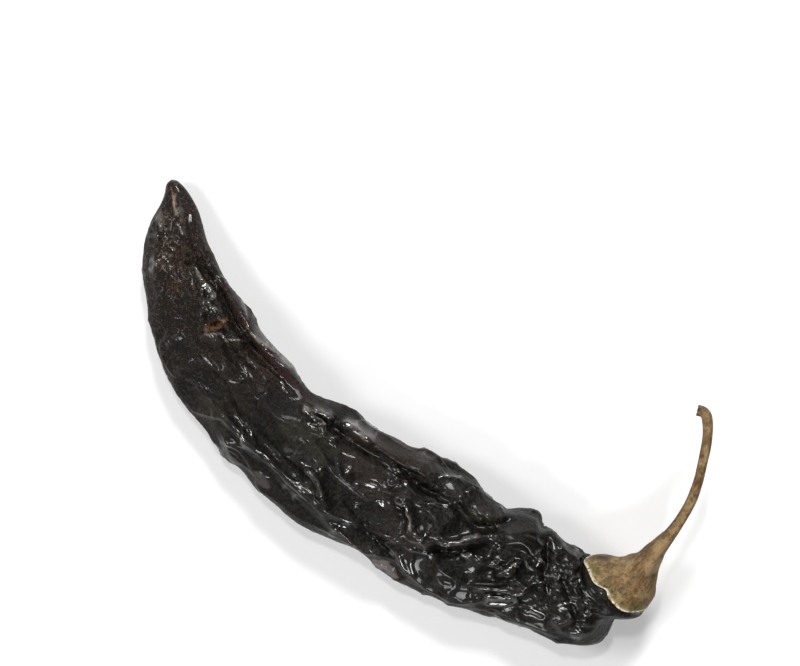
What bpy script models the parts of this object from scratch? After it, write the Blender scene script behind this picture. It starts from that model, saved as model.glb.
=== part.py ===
"""Dried pasilla pepper lying on its side: the wrinkled pod, and its stem with the calyx.

The pod lies along X with its tip at -X. Lengths are in millimetres until the meshes are
finished, and are then turned into metres. The object's own origin is the middle of its
footprint, on the surface that it lies on.
"""

import math

import bmesh
import bpy
from mathutils import Vector, noise

MM = 0.001
COLLECTION_NAME = "pasilla_pepper"
UPRIGHT = Vector((0.0, 0.0, 1.0))

# Mesh densities
POD_COLUMNS = 56
POD_ROWS = 88
STEM_COLUMNS = 30
SAMPLES_PER_RING = 24

# The pod's rings from the tip to the shoulder, along its two edges as seen from above:
# outer edge x and y, inner edge x and y, underside, crest, and lean of the ring in degrees
POD_RINGS = [
    (-86.6, -4.4, -86.6, -4.4, 3.8, 3.8, 0),
    (-86.7, -6.3, -84.8, -3.5, 2.2, 5.6, 0),
    (-85.2, -8.8, -81.0, -3.8, 1.5, 6.8, 0),
    (-84.0, -12.2, -76.8, -5.0, 0.6, 8.2, 0),
    (-82.8, -17.2, -72.7, -7.0, 0.0, 9.8, 0),
    (-79.0, -23.8, -66.7, -10.6, -0.4, 11.2, 0),
    (-72.0, -30.6, -58.7, -13.5, -0.4, 12.6, 0),
    (-63.2, -37.1, -49.2, -15.3, -0.2, 13.8, 0),
    (-54.8, -42.6, -40.3, -18.1, 0.0, 15.0, 0),
    (-42.3, -45.9, -30.8, -18.8, 0.0, 16.0, 0),
    (-28.2, -47.9, -19.8, -19.5, -0.2, 16.8, 0),
    (-13.4, -48.4, -9.7, -16.7, -0.4, 17.4, 0),
    (3.5, -49.3, 1.6, -14.6, -0.4, 17.8, 0),
    (18.7, -43.7, 14.3, -11.5, -0.2, 18.0, 0),
    (32.9, -41.0, 26.0, -8.2, 0.0, 18.2, 0),
    (39.8, -39.7, 33.0, -8.4, 0.0, 18.2, 0),
    (45.4, -36.4, 38.4, -7.4, 0.0, 18.2, 0),
    (49.1, -34.9, 40.6, -7.3, 0.0, 18.2, 0),
    (52.8, -33.2, 44.0, -4.1, 0.0, 18.0, 0),
    (57.2, -31.0, 48.0, -2.3, -0.2, 18.0, 0),
    (61.7, -29.1, 51.3, -4.0, -0.3, 18.0, 0),
    (66.4, -27.0, 54.2, -2.7, -0.4, 18.0, 2),
    (74.4, -23.3, 58.2, -2.2, -0.4, 18.4, 6),
    (80.9, -19.0, 61.8, -1.9, -0.2, 18.8, 12),
    (83.1, -14.2, 64.2, -2.4, 0.0, 19.0, 19),
    (82.0, -8.4, 65.3, -3.6, 0.2, 19.0, 26),
]

# Cross-section of the pod: below 1 is boxier than an ellipse, and the crest leans inwards
BODY_BOXINESS = 0.86
CREST_SHIFT = 0.16
TIP_ROUND_RINGS = 3.0
NECK_ROUND_RINGS = 5.0

# Mouth of the calyx, where it caps the pod
MOUTH = Vector((76.0, -1.6, 11.0))
MOUTH_RISE = math.radians(30.0)
MOUTH_HEADING = math.radians(94.2)

# The pod's neck inside the calyx: distance past the mouth, and radius
NECK = [(-2.0, 10.4), (-0.5, 10.0), (1.0, 9.2), (2.4, 7.7), (3.7, 5.4), (4.6, 2.9), (5.0, 0.0)]
NECK_GAP = 0.5

# The calyx's outside: distance past the mouth, and radius
BELL = [(-1.5, 11.4), (0.0, 10.5), (1.7, 9.8), (3.4, 8.7), (5.0, 7.6), (6.3, 6.7), (7.8, 5.6),
        (9.2, 4.8), (11.2, 3.8), (13.5, 3.1)]
BELL_ROWS = 15

# The calyx's rim: how far its lobes reach back over the pod, by angle from the outer side
RIM_START = 0.6
RIM_REST = -0.7
RIM_LOBES = [(182.0, 1.8), (130.0, 0.4), (60.0, 1.1), (-8.0, 1.3), (-75.0, 1.7), (-130.0, 1.0)]
RIM_LOBE_WIDTH = 24.0
RIM_CRACK = (108.0, 1.0, 10.0)
RIM_FADE = 4.2

# Rows of the calyx's hollow and spacing of the rows on its outside, as distances past the mouth
HOLLOW_ROWS = (4.9, 4.4, 3.8, 3.1, 2.4, 1.8, 1.3, 0.9, 0.7)
SLOPE_REACH = 0.3
RIM_STEP = 0.15
BELL_CROWDING = 1.15

# Middle line of the calyx and the stem past the mouth, and the stem's radius along it
STEM_PATH = [
    (77.4, 1.1, 12.5),
    (78.0, 3.7, 14.0),
    (77.8, 5.9, 15.2),
    (77.4, 8.8, 16.8),
    (76.8, 12.2, 18.0),
    (76.7, 15.1, 18.8),
    (76.6, 18.3, 19.5),
    (75.8, 23.1, 20.2),
    (74.5, 28.2, 20.7),
    (72.2, 33.5, 21.0),
    (69.4, 38.3, 21.1),
    (66.5, 43.0, 21.0),
    (63.1, 46.8, 20.8),
    (60.9, 47.9, 20.6),
    (58.9, 47.0, 20.4),
]
STEM_RADII = [(13.5, 3.1), (17.0, 2.35), (22.0, 1.65), (27.0, 1.35), (40.0, 1.22), (50.0, 1.25),
              (60.0, 1.45)]
STEM_ROWS = 26

# The cut end: distance past the end of the stem's middle line, and share of the stem's radius
CUT_END = [(0.15, 0.82), (-0.1, 0.45), (-0.2, 0.0)]

# Ribs along the calyx and stem, as a share of the radius, and where they start and are full
STEM_RIBS = 5
RIB_DEPTH = 0.09
RIB_START = 2.0
RIB_GROWTH = 8.0
RIB_TWIST = 0.04

# Uneven knots along the calyx and stem, as a share of the radius
KNOT_DEPTH = 0.07
KNOT_LENGTH = 5.0
KNOT_DETAIL = 1.3
KNOT_START = 1.0
KNOT_GROWTH = 4.0

# Folds on the upper side: height, half width and points from above, below 0 for a valley
FOLDS = [
    (2.0, 1.2, [(-74.5, -7.6), (-68.8, -10.8), (-61.8, -13.6), (-54.8, -15.2), (-47.2, -17.4),
                (-40.0, -19.4), (-31.5, -20.2), (-25.0, -20.4), (-19.0, -21.0)]),
    (-2.2, 1.4, [(-75.0, -10.0), (-70.0, -13.0), (-63.0, -16.0), (-54.5, -17.6), (-47.0, -20.4),
                 (-39.5, -22.4), (-32.0, -22.8), (-24.0, -22.8)]),
    (1.5, 1.2, [(-60.5, -18.6), (-53.5, -19.8), (-47.0, -23.0), (-40.0, -25.0), (-33.0, -25.2)]),
    (1.7, 1.3, [(-83.5, -6.0), (-78.5, -9.2), (-73.5, -12.4), (-69.5, -14.8), (-65.5, -17.0)]),
    (-1.8, 1.6, [(-80.5, -13.0), (-75.0, -17.5), (-69.0, -19.0)]),
    (1.4, 1.2, [(-80.5, -16.5), (-76.0, -21.0), (-71.5, -25.5), (-64.0, -31.0)]),
    (1.4, 1.2, [(-64.0, -17.0), (-59.5, -20.4), (-56.0, -23.0), (-55.0, -26.0), (-49.0, -27.0),
                (-44.0, -28.6)]),
    (1.4, 1.2, [(-52.0, -30.5), (-48.0, -28.5), (-44.5, -26.0), (-40.5, -24.0)]),
    (-1.7, 1.8, [(-53.5, -26.5), (-50.0, -25.0), (-47.0, -24.0)]),
    (1.4, 1.3, [(-46.0, -39.0), (-38.5, -41.0), (-30.0, -41.5), (-20.0, -42.0), (-14.0, -41.5),
                (-4.0, -41.5), (4.5, -41.0), (12.5, -38.5)]),
    (-1.4, 1.6, [(-36.0, -37.5), (-26.0, -38.5), (-14.0, -38.5), (-4.0, -38.0)]),
    (1.4, 1.2, [(-19.5, -24.8), (-15.0, -24.5), (-11.5, -24.8), (-8.0, -26.0)]),
    (1.2, 1.2, [(-16.0, -22.6), (-13.0, -22.0), (-9.5, -21.5)]),
    (1.5, 2.0, [(-8.5, -20.4), (-4.5, -19.2), (-1.0, -18.6), (3.0, -19.0)]),
    (-2.4, 1.6, [(-11.5, -22.6), (-4.5, -22.6), (4.0, -21.0), (9.5, -20.0), (15.5, -18.4),
                 (22.0, -17.4), (28.0, -15.6)]),
    (1.4, 1.2, [(-7.0, -36.5), (-3.5, -35.8), (-0.5, -36.8), (3.0, -39.0), (6.0, -39.5)]),
    (1.7, 1.2, [(15.0, -25.0), (19.0, -24.0), (22.5, -25.5), (25.5, -29.0), (29.5, -28.8),
                (33.0, -26.4), (36.5, -23.0), (40.5, -18.5), (43.0, -15.0)]),
    (-1.8, 1.5, [(32.0, -29.0), (37.0, -25.6), (41.0, -21.4), (44.5, -17.0)]),
    (-1.7, 1.7, [(14.0, -36.5), (18.0, -37.0), (24.0, -37.5), (28.0, -38.5), (31.5, -40.0)]),
    (-2.0, 1.5, [(29.0, -14.6), (33.0, -15.8), (38.0, -15.6), (42.0, -12.0), (43.5, -7.0)]),
    (1.5, 1.2, [(50.5, -23.0), (52.5, -18.5), (53.0, -14.0)]),
    (1.5, 1.2, [(47.0, -29.5), (52.0, -25.5), (57.0, -21.0), (60.5, -18.5)]),
    (1.5, 1.2, [(52.0, -30.5), (53.5, -27.5), (57.0, -25.0), (58.5, -21.5)]),
    (-1.8, 1.3, [(53.0, -4.5), (56.5, -8.0), (59.5, -12.0), (64.0, -15.5)]),
    (-1.3, 1.4, [(62.5, -9.0), (67.5, -12.0), (72.5, -14.0), (76.5, -17.0)]),
    (1.5, 1.2, [(68.5, -21.0), (72.0, -19.5), (73.5, -16.0)]),
]

# Swellings and hollows on the upper side: middle x and y, half length, half width,
# heading in degrees, and height
SWELLINGS = [
    (36.0, -11.5, 6.5, 4.4, 25.0, 1.9),
    (49.0, -10.0, 5.5, 5.5, 35.0, 1.3),
    (7.0, -17.5, 14.0, 3.2, 18.0, 1.5),
    (27.0, -22.0, 5.0, 4.0, 40.0, 1.1),
    (45.0, -23.5, 7.0, 3.0, 50.0, 1.2),
    (-22.0, -31.0, 12.0, 5.0, 5.0, 0.9),
    (-62.0, -26.0, 7.0, 4.5, -40.0, 1.0),
    (-50.0, -33.0, 9.0, 4.0, -28.0, -0.9),
    (14.0, -30.5, 9.0, 4.0, 12.0, -1.1),
    (62.0, -12.5, 4.5, 5.5, 40.0, -1.0),
    (73.0, -17.0, 5.0, 4.0, 60.0, 0.9),
    (26.0, -40.5, 5.0, 3.0, 12.0, 0.9),
]

# How far a fold reaches in half widths, and how folds and swellings fade at a line's ends,
# on the sides, at the tip and at the neck
FOLD_REACH = 3.0
LINE_END_SHARE = 0.2
LINE_END_RISE = 0.25
SIDE_FADE = (-0.1, 0.5)
TIP_FADE = 8.0
NECK_FADE = 9.0
NECK_SMOOTH = 12.6

# Crumpling all over: depth by distance from the tip, and the length and width of its hollows
CRUMPLE_DEPTHS = [(0.0, 0.9), (35.0, 1.9), (90.0, 2.3), (130.0, 2.8), (155.0, 2.6), (175.0, 1.6)]
CRUMPLE_LENGTH = 15.0
CRUMPLE_WIDTH = 8.0
CRUMPLE_REACH = 0.8
CRUMPLE_WARP = 0.55
NOISE_SEED = 5
CRUMPLE_WARP_DETAIL = 0.8
CRUMPLE_LIFT = 0.5
TIGHT_SPACING = 1.5

# Flat spots on the underside, under the weight and near both ends, and their radii
REST_SPOTS = [(-63.0, -21.5, 4.0), (-2.0, -33.0, 6.0), (62.0, -15.0, 4.5)]
REST_DEPTH = 3.0
REST_EASE = 3.0

POD_COLOUR = (0.016, 0.013, 0.011, 1.0)
STEM_COLOUR = (0.24, 0.15, 0.065, 1.0)


def smoothstep(value):
    """Eases a value from 0 to 1."""
    held = min(max(value, 0.0), 1.0)
    return held * held * (3.0 - 2.0 * held)


def follow(table, where):
    """Reads a table of (place, value) rows at any place, with straight lines between rows."""
    if where <= table[0][0]:
        return table[0][1]
    for (start, low), (end, high) in zip(table, table[1:]):
        if where <= end:
            return low + (high - low) * (where - start) / (end - start)
    return table[-1][1]


def spline(rows, where):
    """Reads rows of numbers at a fractional row, along a smooth curve through them."""
    last = len(rows) - 1
    index = min(int(where), last - 1)
    part = where - index
    before, start = rows[max(index - 1, 0)], rows[index]
    end, after = rows[index + 1], rows[min(index + 2, last)]
    result = []
    for a, b, c, d in zip(before, start, end, after):
        bend = 2 * a - 5 * b + 4 * c - d
        twist = 3 * b - a - 3 * c + d
        result.append(b + 0.5 * part * (c - a + part * (bend + part * twist)))
    return result


def heading_vectors():
    """Forward, across and up vectors of the calyx's mouth."""
    level = Vector((math.cos(MOUTH_HEADING), math.sin(MOUTH_HEADING), 0.0))
    forward = level * math.cos(MOUTH_RISE) + UPRIGHT * math.sin(MOUTH_RISE)
    across = level.cross(UPRIGHT)
    return forward, across, across.cross(forward)


FORWARD, ACROSS, UP = heading_vectors()


class StemAxis:
    """The curved middle line of the calyx and stem, with a frame at each distance past the mouth."""

    STEP = 0.25
    LOOK = 0.6
    STRAIGHT = 5.0
    TURN_LENGTH = 9.0

    def __init__(self):
        """Measures the middle line off in even steps."""
        rows = [tuple(MOUTH - FORWARD * self.STRAIGHT), tuple(MOUTH)] + STEM_PATH
        fine = [Vector(spline(rows, 1.0 + i / SAMPLES_PER_RING))
                for i in range((len(rows) - 2) * SAMPLES_PER_RING + 1)]
        self.points, self.length = self.even_points(fine)

    def even_points(self, fine):
        """Points at even steps along a finely divided line, and its length."""
        points = [fine[0]]
        walked, target = 0.0, self.STEP
        for start, end in zip(fine, fine[1:]):
            run = (end - start).length
            while walked + run >= target:
                points.append(start.lerp(end, (target - walked) / run))
                target += self.STEP
            walked += run
        return points, (len(points) - 1) * self.STEP

    def centre(self, distance):
        """Point of the middle line at a distance past the mouth."""
        if distance <= 0.0:
            return MOUTH + FORWARD * distance
        place = min(distance, self.length) / self.STEP
        index = min(int(place), len(self.points) - 2)
        return self.points[index].lerp(self.points[index + 1], place - index)

    def frame(self, distance):
        """Centre, across and up vectors at a distance past the mouth."""
        middle = min(max(distance, self.LOOK), self.length - self.LOOK)
        ahead = self.centre(middle + self.LOOK) - self.centre(middle - self.LOOK)
        turned = smoothstep((distance - self.STRAIGHT) / self.TURN_LENGTH)
        forward = FORWARD.lerp(ahead.normalized(), turned).normalized()
        up = (UP - forward * UP.dot(forward)).normalized()
        return self.centre(distance), forward.cross(up), up


AXIS = StemAxis()


def neck_ring(distance, radius):
    """One of the pod's rings inside the calyx, in the columns of POD_RINGS."""
    middle = AXIS.centre(distance)
    outer = middle + ACROSS * radius
    inner = middle - ACROSS * radius
    rise = radius * math.cos(MOUTH_RISE)
    lean = math.degrees(MOUTH_RISE)
    return (outer.x, outer.y, inner.x, inner.y, middle.z - rise, middle.z + rise, lean)


RINGS = POD_RINGS + [neck_ring(distance, radius) for distance, radius in NECK]


def pod_ring(where):
    """Centre, half-width vector and half-height vector of the pod's ring at a fractional row."""
    outer_x, outer_y, inner_x, inner_y, low, high, lean = spline(RINGS, where)
    centre = Vector(((outer_x + inner_x) / 2, (outer_y + inner_y) / 2, (low + high) / 2))
    half_width = Vector(((outer_x - inner_x) / 2, (outer_y - inner_y) / 2, 0.0))
    ahead = Vector((-half_width.y, half_width.x, 0.0)).normalized()
    tilt = math.radians(lean)
    upward = UPRIGHT * math.cos(tilt) - ahead * math.sin(tilt)
    return centre, half_width, upward * ((high - low) / 2 / math.cos(tilt))


def ring_schedule():
    """The fractional rows that space the pod's rings evenly over its skin, with their distances."""
    steps = (len(RINGS) - 1) * SAMPLES_PER_RING
    places = [i / SAMPLES_PER_RING for i in range(steps + 1)]
    run, walked = 0.0, [0.0]
    edges = []
    for place in places:
        centre, half_width, half_height = pod_ring(place)
        edges.append((centre + half_width, centre - half_width, centre + half_height))
    for before, after in zip(edges, edges[1:]):
        run += sum((b - a).length for a, b in zip(before, after)) / 3
        walked.append(run)
    schedule, index = [], 0
    for row in range(POD_ROWS + 1):
        target = run * row / POD_ROWS
        while index < steps - 1 and walked[index + 1] < target:
            index += 1
        part = (target - walked[index]) / (walked[index + 1] - walked[index])
        schedule.append((places[index] + part / SAMPLES_PER_RING, target))
    return schedule


def section_point(angle, boxiness):
    """Across and up shares of a rounded box section at an angle from its outer edge."""
    across = math.copysign(abs(math.cos(angle)) ** boxiness, math.cos(angle))
    up = math.copysign(abs(math.sin(angle)) ** boxiness, math.sin(angle))
    if up > 0.0:
        across -= CREST_SHIFT * up * up * (1.0 - boxiness) / (1.0 - BODY_BOXINESS)
    return across, up


def distance_to_line(x, y, points):
    """Shortest distance from x, y to a line of points, and how far along it that is, from 0 to 1."""
    best, along = 1e9, 0.0
    for index, ((ax, ay), (bx, by)) in enumerate(zip(points, points[1:])):
        dx, dy = bx - ax, by - ay
        part = min(max(((x - ax) * dx + (y - ay) * dy) / (dx * dx + dy * dy), 0.0), 1.0)
        gap = math.hypot(x - ax - part * dx, y - ay - part * dy)
        if gap < best:
            best, along = gap, (index + part) / (len(points) - 1)
    return best, along


def fold_height(x, y):
    """Height that the folds and swellings add on the upper side."""
    height = 0.0
    for rise, half_width, points in FOLDS:
        gap, along = distance_to_line(x, y, points)
        if gap < FOLD_REACH * half_width:
            ends = smoothstep(min(along, 1.0 - along) / LINE_END_SHARE + LINE_END_RISE)
            height += rise * ends * math.exp(-((gap / half_width) ** 2))
    for mid_x, mid_y, half_length, half_width, heading, rise in SWELLINGS:
        turn = math.radians(heading)
        along = (x - mid_x) * math.cos(turn) + (y - mid_y) * math.sin(turn)
        side = (y - mid_y) * math.cos(turn) - (x - mid_x) * math.sin(turn)
        height += rise * math.exp(-((along / half_length) ** 2) - (side / half_width) ** 2)
    return height


def crumple(distance, side, height):
    """Dished hollows that meet in ridges, from -1 in a hollow to 0 on a ridge."""
    place = Vector((distance / CRUMPLE_LENGTH, side / CRUMPLE_WIDTH, height / CRUMPLE_WIDTH))
    place += noise.noise_vector(place * CRUMPLE_WARP_DETAIL) * CRUMPLE_WARP
    from_middle = noise.voronoi(place)[0][0]
    return min((from_middle / CRUMPLE_REACH) ** 2, 1.0) - 1.0


def rest_flat(point):
    """Presses the underside flat on the surface at the spots that carry the weight."""
    height = max(point.z, 0.0)
    for x, y, radius in REST_SPOTS:
        off = math.hypot(point.x - x, point.y - y)
        if height < REST_DEPTH:
            height *= smoothstep((off - radius) / REST_EASE)
    return Vector((point.x, point.y, height))


def ball(columns, rows, place):
    """A ball whose vertices are moved to place(row, angle), with its first row at the top pole."""
    mesh = bmesh.new()
    bmesh.ops.create_uvsphere(mesh, u_segments=columns, v_segments=rows, radius=1.0)
    keys = {}
    for vert in mesh.verts:
        row = round(math.acos(min(max(vert.co.z, -1.0), 1.0)) / math.pi * rows)
        keys[vert.index] = (row, math.atan2(vert.co.y, vert.co.x))
    for vert in mesh.verts:
        vert.co = place(*keys[vert.index])
    mesh.normal_update()
    return mesh, keys


def build_pod():
    """The pod: rings of a rounded section, folded, crumpled and pressed flat where it rests."""
    schedule = ring_schedule()
    length = schedule[-1][1]
    skin = {}

    def place(row, angle):
        where, distance = schedule[row]
        centre, half_width, half_height = pod_ring(where)
        to_neck = (len(POD_RINGS) - where) / NECK_ROUND_RINGS
        body = smoothstep(min(to_neck, where / TIP_ROUND_RINGS))
        across, up = section_point(angle, 1.0 + (BODY_BOXINESS - 1.0) * body)
        skin[row, angle] = (distance, across * half_width.length, up * half_height.length)
        return centre + half_width * across + half_height * up

    mesh, keys = ball(POD_COLUMNS, POD_ROWS, place)
    moves = []
    for vert in mesh.verts:
        distance, side, height = skin[keys[vert.index]]
        to_neck = smoothstep((length - distance - NECK_SMOOTH) / NECK_FADE)
        to_tip = smoothstep(distance / TIP_FADE)
        top = smoothstep((vert.normal.z - SIDE_FADE[0]) / SIDE_FADE[1]) if height > 0.0 else 0.0
        folds = fold_height(vert.co.x, vert.co.y) * top
        depth = follow(CRUMPLE_DEPTHS, distance)
        crumpled = (crumple(distance, side, height) + CRUMPLE_LIFT) * depth
        tightest = min(edge.calc_length() for edge in vert.link_edges)
        share = to_neck * to_tip * smoothstep(tightest / TIGHT_SPACING)
        moves.append((UPRIGHT * folds + vert.normal * crumpled) * share)
    for vert, move in zip(mesh.verts, moves):
        vert.co += move
    for vert in mesh.verts:
        vert.co = rest_flat(vert.co)
    return mesh


def rim_shift(angle):
    """How far the calyx's rim reaches towards the pod at an angle, with its lobes and its crack."""
    degrees = math.degrees(angle)
    reach = 0.0
    for middle, size in RIM_LOBES:
        off = (degrees - middle + 180.0) % 360.0 - 180.0
        reach += size * math.exp(-((off / RIM_LOBE_WIDTH) ** 2))
    middle, depth, half_width = RIM_CRACK
    off = (degrees - middle + 180.0) % 360.0 - 180.0
    return RIM_REST + reach - depth * math.exp(-((off / half_width) ** 2))


def calyx_rows():
    """Rows of the stem's outline from the hollow in the calyx to the cut end.

    Each row is a distance past the mouth, a radius, and whether it lies on the hollow's wall.
    """
    rows = [(NECK[-1][0] + NECK_GAP, 0.0, True)]
    rows += [(distance, None, True) for distance in HOLLOW_ROWS]
    rows += [(RIM_START, 0.0, False)]
    start, end = BELL[-1][0], AXIS.length
    for step in range(BELL_ROWS + 1):
        along = (start - RIM_START) * (step / BELL_ROWS) ** BELL_CROWDING
        rows.append((RIM_START + RIM_STEP + along, None, False))
    for step in range(1, STEM_ROWS + 1):
        rows.append((start + (end - start) * step / STEM_ROWS, None, False))
    rows += [(end + past, STEM_RADII[-1][1] * share, False) for past, share in CUT_END]
    return rows


def hollow_radius(distance):
    """Radius of the calyx's hollow, clear of the pod's neck all round."""
    drop = follow(NECK, distance + SLOPE_REACH) - follow(NECK, distance - SLOPE_REACH)
    slope = drop / (2.0 * SLOPE_REACH)
    return follow(NECK, distance) + NECK_GAP * math.sqrt(1.0 + slope * slope)


def uneven(distance, angle):
    """Share of the calyx's or stem's radius at a place on it, with its ribs and knots."""
    ribs = smoothstep((distance - RIB_START) / RIB_GROWTH) * RIB_DEPTH
    ribbed = 1.0 + ribs * math.cos(STEM_RIBS * angle + RIB_TWIST * distance)
    place = Vector((math.cos(angle), math.sin(angle), distance / KNOT_LENGTH))
    knots = smoothstep((distance - KNOT_START) / KNOT_GROWTH) * KNOT_DEPTH
    return ribbed * (1.0 + knots * noise.noise(place * KNOT_DETAIL))


def build_stem():
    """The calyx and the stem, which grow as one piece."""
    rows = calyx_rows()

    def place(row, angle):
        distance, radius, hollow = rows[row]
        near_rim = 1.0 - smoothstep((distance - RIM_START) / RIM_FADE)
        shifted = distance - rim_shift(angle) * near_rim
        if radius is None and hollow:
            radius = hollow_radius(shifted)
        elif radius is None and distance < BELL[-1][0]:
            radius = follow(BELL, shifted)
        elif radius is None:
            radius = follow(STEM_RADII, distance)
        elif distance == RIM_START:
            radius = (hollow_radius(shifted) + follow(BELL, shifted)) / 2
        if not hollow:
            radius *= uneven(distance, angle)
        centre, across, up = AXIS.frame(shifted)
        return centre + (across * math.cos(angle) + up * math.sin(angle)) * radius

    mesh, _ = ball(STEM_COLUMNS, len(rows) - 1, place)
    return mesh


def make_material(name, colour, roughness):
    """A plain material with a colour and a roughness."""
    material = bpy.data.materials.new(name)
    material.use_nodes = True
    shader = material.node_tree.nodes["Principled BSDF"]
    shader.inputs["Base Color"].default_value = colour
    shader.inputs["Roughness"].default_value = roughness
    shader.inputs["Metallic"].default_value = 0.0
    return material


def add_piece(name, mesh, material, collection):
    """Turns a finished mesh into metres and puts it in the collection as an object."""
    for vert in mesh.verts:
        vert.co *= MM
    bmesh.ops.triangulate(mesh, faces=mesh.faces)
    data = bpy.data.meshes.new(name)
    mesh.to_mesh(data)
    mesh.free()
    data.materials.append(material)
    data.shade_smooth()
    piece = bpy.data.objects.new(name, data)
    collection.objects.link(piece)
    return piece


def main():
    """Clears the scene and makes the pod and the stem."""
    noise.seed_set(NOISE_SEED)
    for old in list(bpy.data.objects):
        bpy.data.objects.remove(old, do_unlink=True)
    collection = bpy.data.collections.new(COLLECTION_NAME)
    bpy.context.scene.collection.children.link(collection)
    skin = make_material("dried_skin", POD_COLOUR, 0.28)
    wood = make_material("dried_stem", STEM_COLOUR, 0.62)
    add_piece("pod", build_pod(), skin, collection)
    add_piece("stem_with_calyx", build_stem(), wood, collection)


main()
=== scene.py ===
"""Dressed dried pasilla pepper on a pale floor, seen from straight above.

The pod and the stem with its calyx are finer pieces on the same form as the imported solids.
Sizes are in metres unless a name says millimetres: the form's formulas work in millimetres.
"""

import logging
import math
from dataclasses import dataclass, field
from enum import Enum
from typing import Any

import bpy
import numpy as np
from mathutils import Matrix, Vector, noise

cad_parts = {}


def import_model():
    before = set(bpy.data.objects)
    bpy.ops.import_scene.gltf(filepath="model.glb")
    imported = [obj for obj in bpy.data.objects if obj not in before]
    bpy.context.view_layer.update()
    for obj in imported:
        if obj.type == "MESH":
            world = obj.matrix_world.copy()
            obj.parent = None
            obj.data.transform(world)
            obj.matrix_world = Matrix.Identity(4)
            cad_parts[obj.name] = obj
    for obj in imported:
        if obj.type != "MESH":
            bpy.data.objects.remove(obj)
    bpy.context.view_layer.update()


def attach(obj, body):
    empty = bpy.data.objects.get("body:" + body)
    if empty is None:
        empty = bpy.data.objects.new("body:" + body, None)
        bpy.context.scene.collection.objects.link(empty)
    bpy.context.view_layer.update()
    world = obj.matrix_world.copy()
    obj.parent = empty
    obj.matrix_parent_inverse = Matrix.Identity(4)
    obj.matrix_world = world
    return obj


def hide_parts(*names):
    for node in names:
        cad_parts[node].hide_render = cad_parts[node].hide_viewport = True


LOG = logging.getLogger("pepper")
MM = 0.001
NOISE_SEED = 5
WARP_DETAIL = 0.8

Point = tuple[float, float]
Row = tuple[float, ...]
Fold = tuple[float, float, list[Point]]

# The pod's rings from the tip to the shoulder, along its two edges as seen from above:
# outer edge x and y, inner edge x and y, underside, crest, and lean of the ring in degrees
POD_RINGS: list[Row] = [
    (-86.6, -4.4, -86.6, -4.4, 3.8, 3.8, 0),
    (-86.7, -6.3, -84.8, -3.5, 2.2, 5.6, 0),
    (-85.2, -8.8, -81.0, -3.8, 1.5, 6.8, 0),
    (-84.0, -12.2, -76.8, -5.0, 0.6, 8.2, 0),
    (-82.8, -17.2, -72.7, -7.0, 0.0, 9.8, 0),
    (-79.0, -23.8, -66.7, -10.6, -0.4, 11.2, 0),
    (-72.0, -30.6, -58.7, -13.5, -0.4, 12.6, 0),
    (-63.2, -37.1, -49.2, -15.3, -0.2, 13.8, 0),
    (-54.8, -42.6, -40.3, -18.1, 0.0, 15.0, 0),
    (-42.3, -45.9, -30.8, -18.8, 0.0, 16.0, 0),
    (-28.2, -47.9, -19.8, -19.5, -0.2, 16.8, 0),
    (-13.4, -48.4, -9.7, -16.7, -0.4, 17.4, 0),
    (3.5, -49.3, 1.6, -14.6, -0.4, 17.8, 0),
    (18.7, -43.7, 14.3, -11.5, -0.2, 18.0, 0),
    (32.9, -41.0, 26.0, -8.2, 0.0, 18.2, 0),
    (39.8, -39.7, 33.0, -8.4, 0.0, 18.2, 0),
    (45.4, -36.4, 38.4, -7.4, 0.0, 18.2, 0),
    (49.1, -34.9, 40.6, -7.3, 0.0, 18.2, 0),
    (52.8, -33.2, 44.0, -4.1, 0.0, 18.0, 0),
    (57.2, -31.0, 48.0, -2.3, -0.2, 18.0, 0),
    (61.7, -29.1, 51.3, -4.0, -0.3, 18.0, 0),
    (66.4, -27.0, 54.2, -2.7, -0.4, 18.0, 2),
    (74.4, -23.3, 58.2, -2.2, -0.4, 18.4, 6),
    (80.9, -19.0, 61.8, -1.9, -0.2, 18.8, 12),
    (83.1, -14.2, 64.2, -2.4, 0.0, 19.0, 19),
    (82.0, -8.4, 65.3, -3.6, 0.2, 19.0, 26),
]

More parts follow.
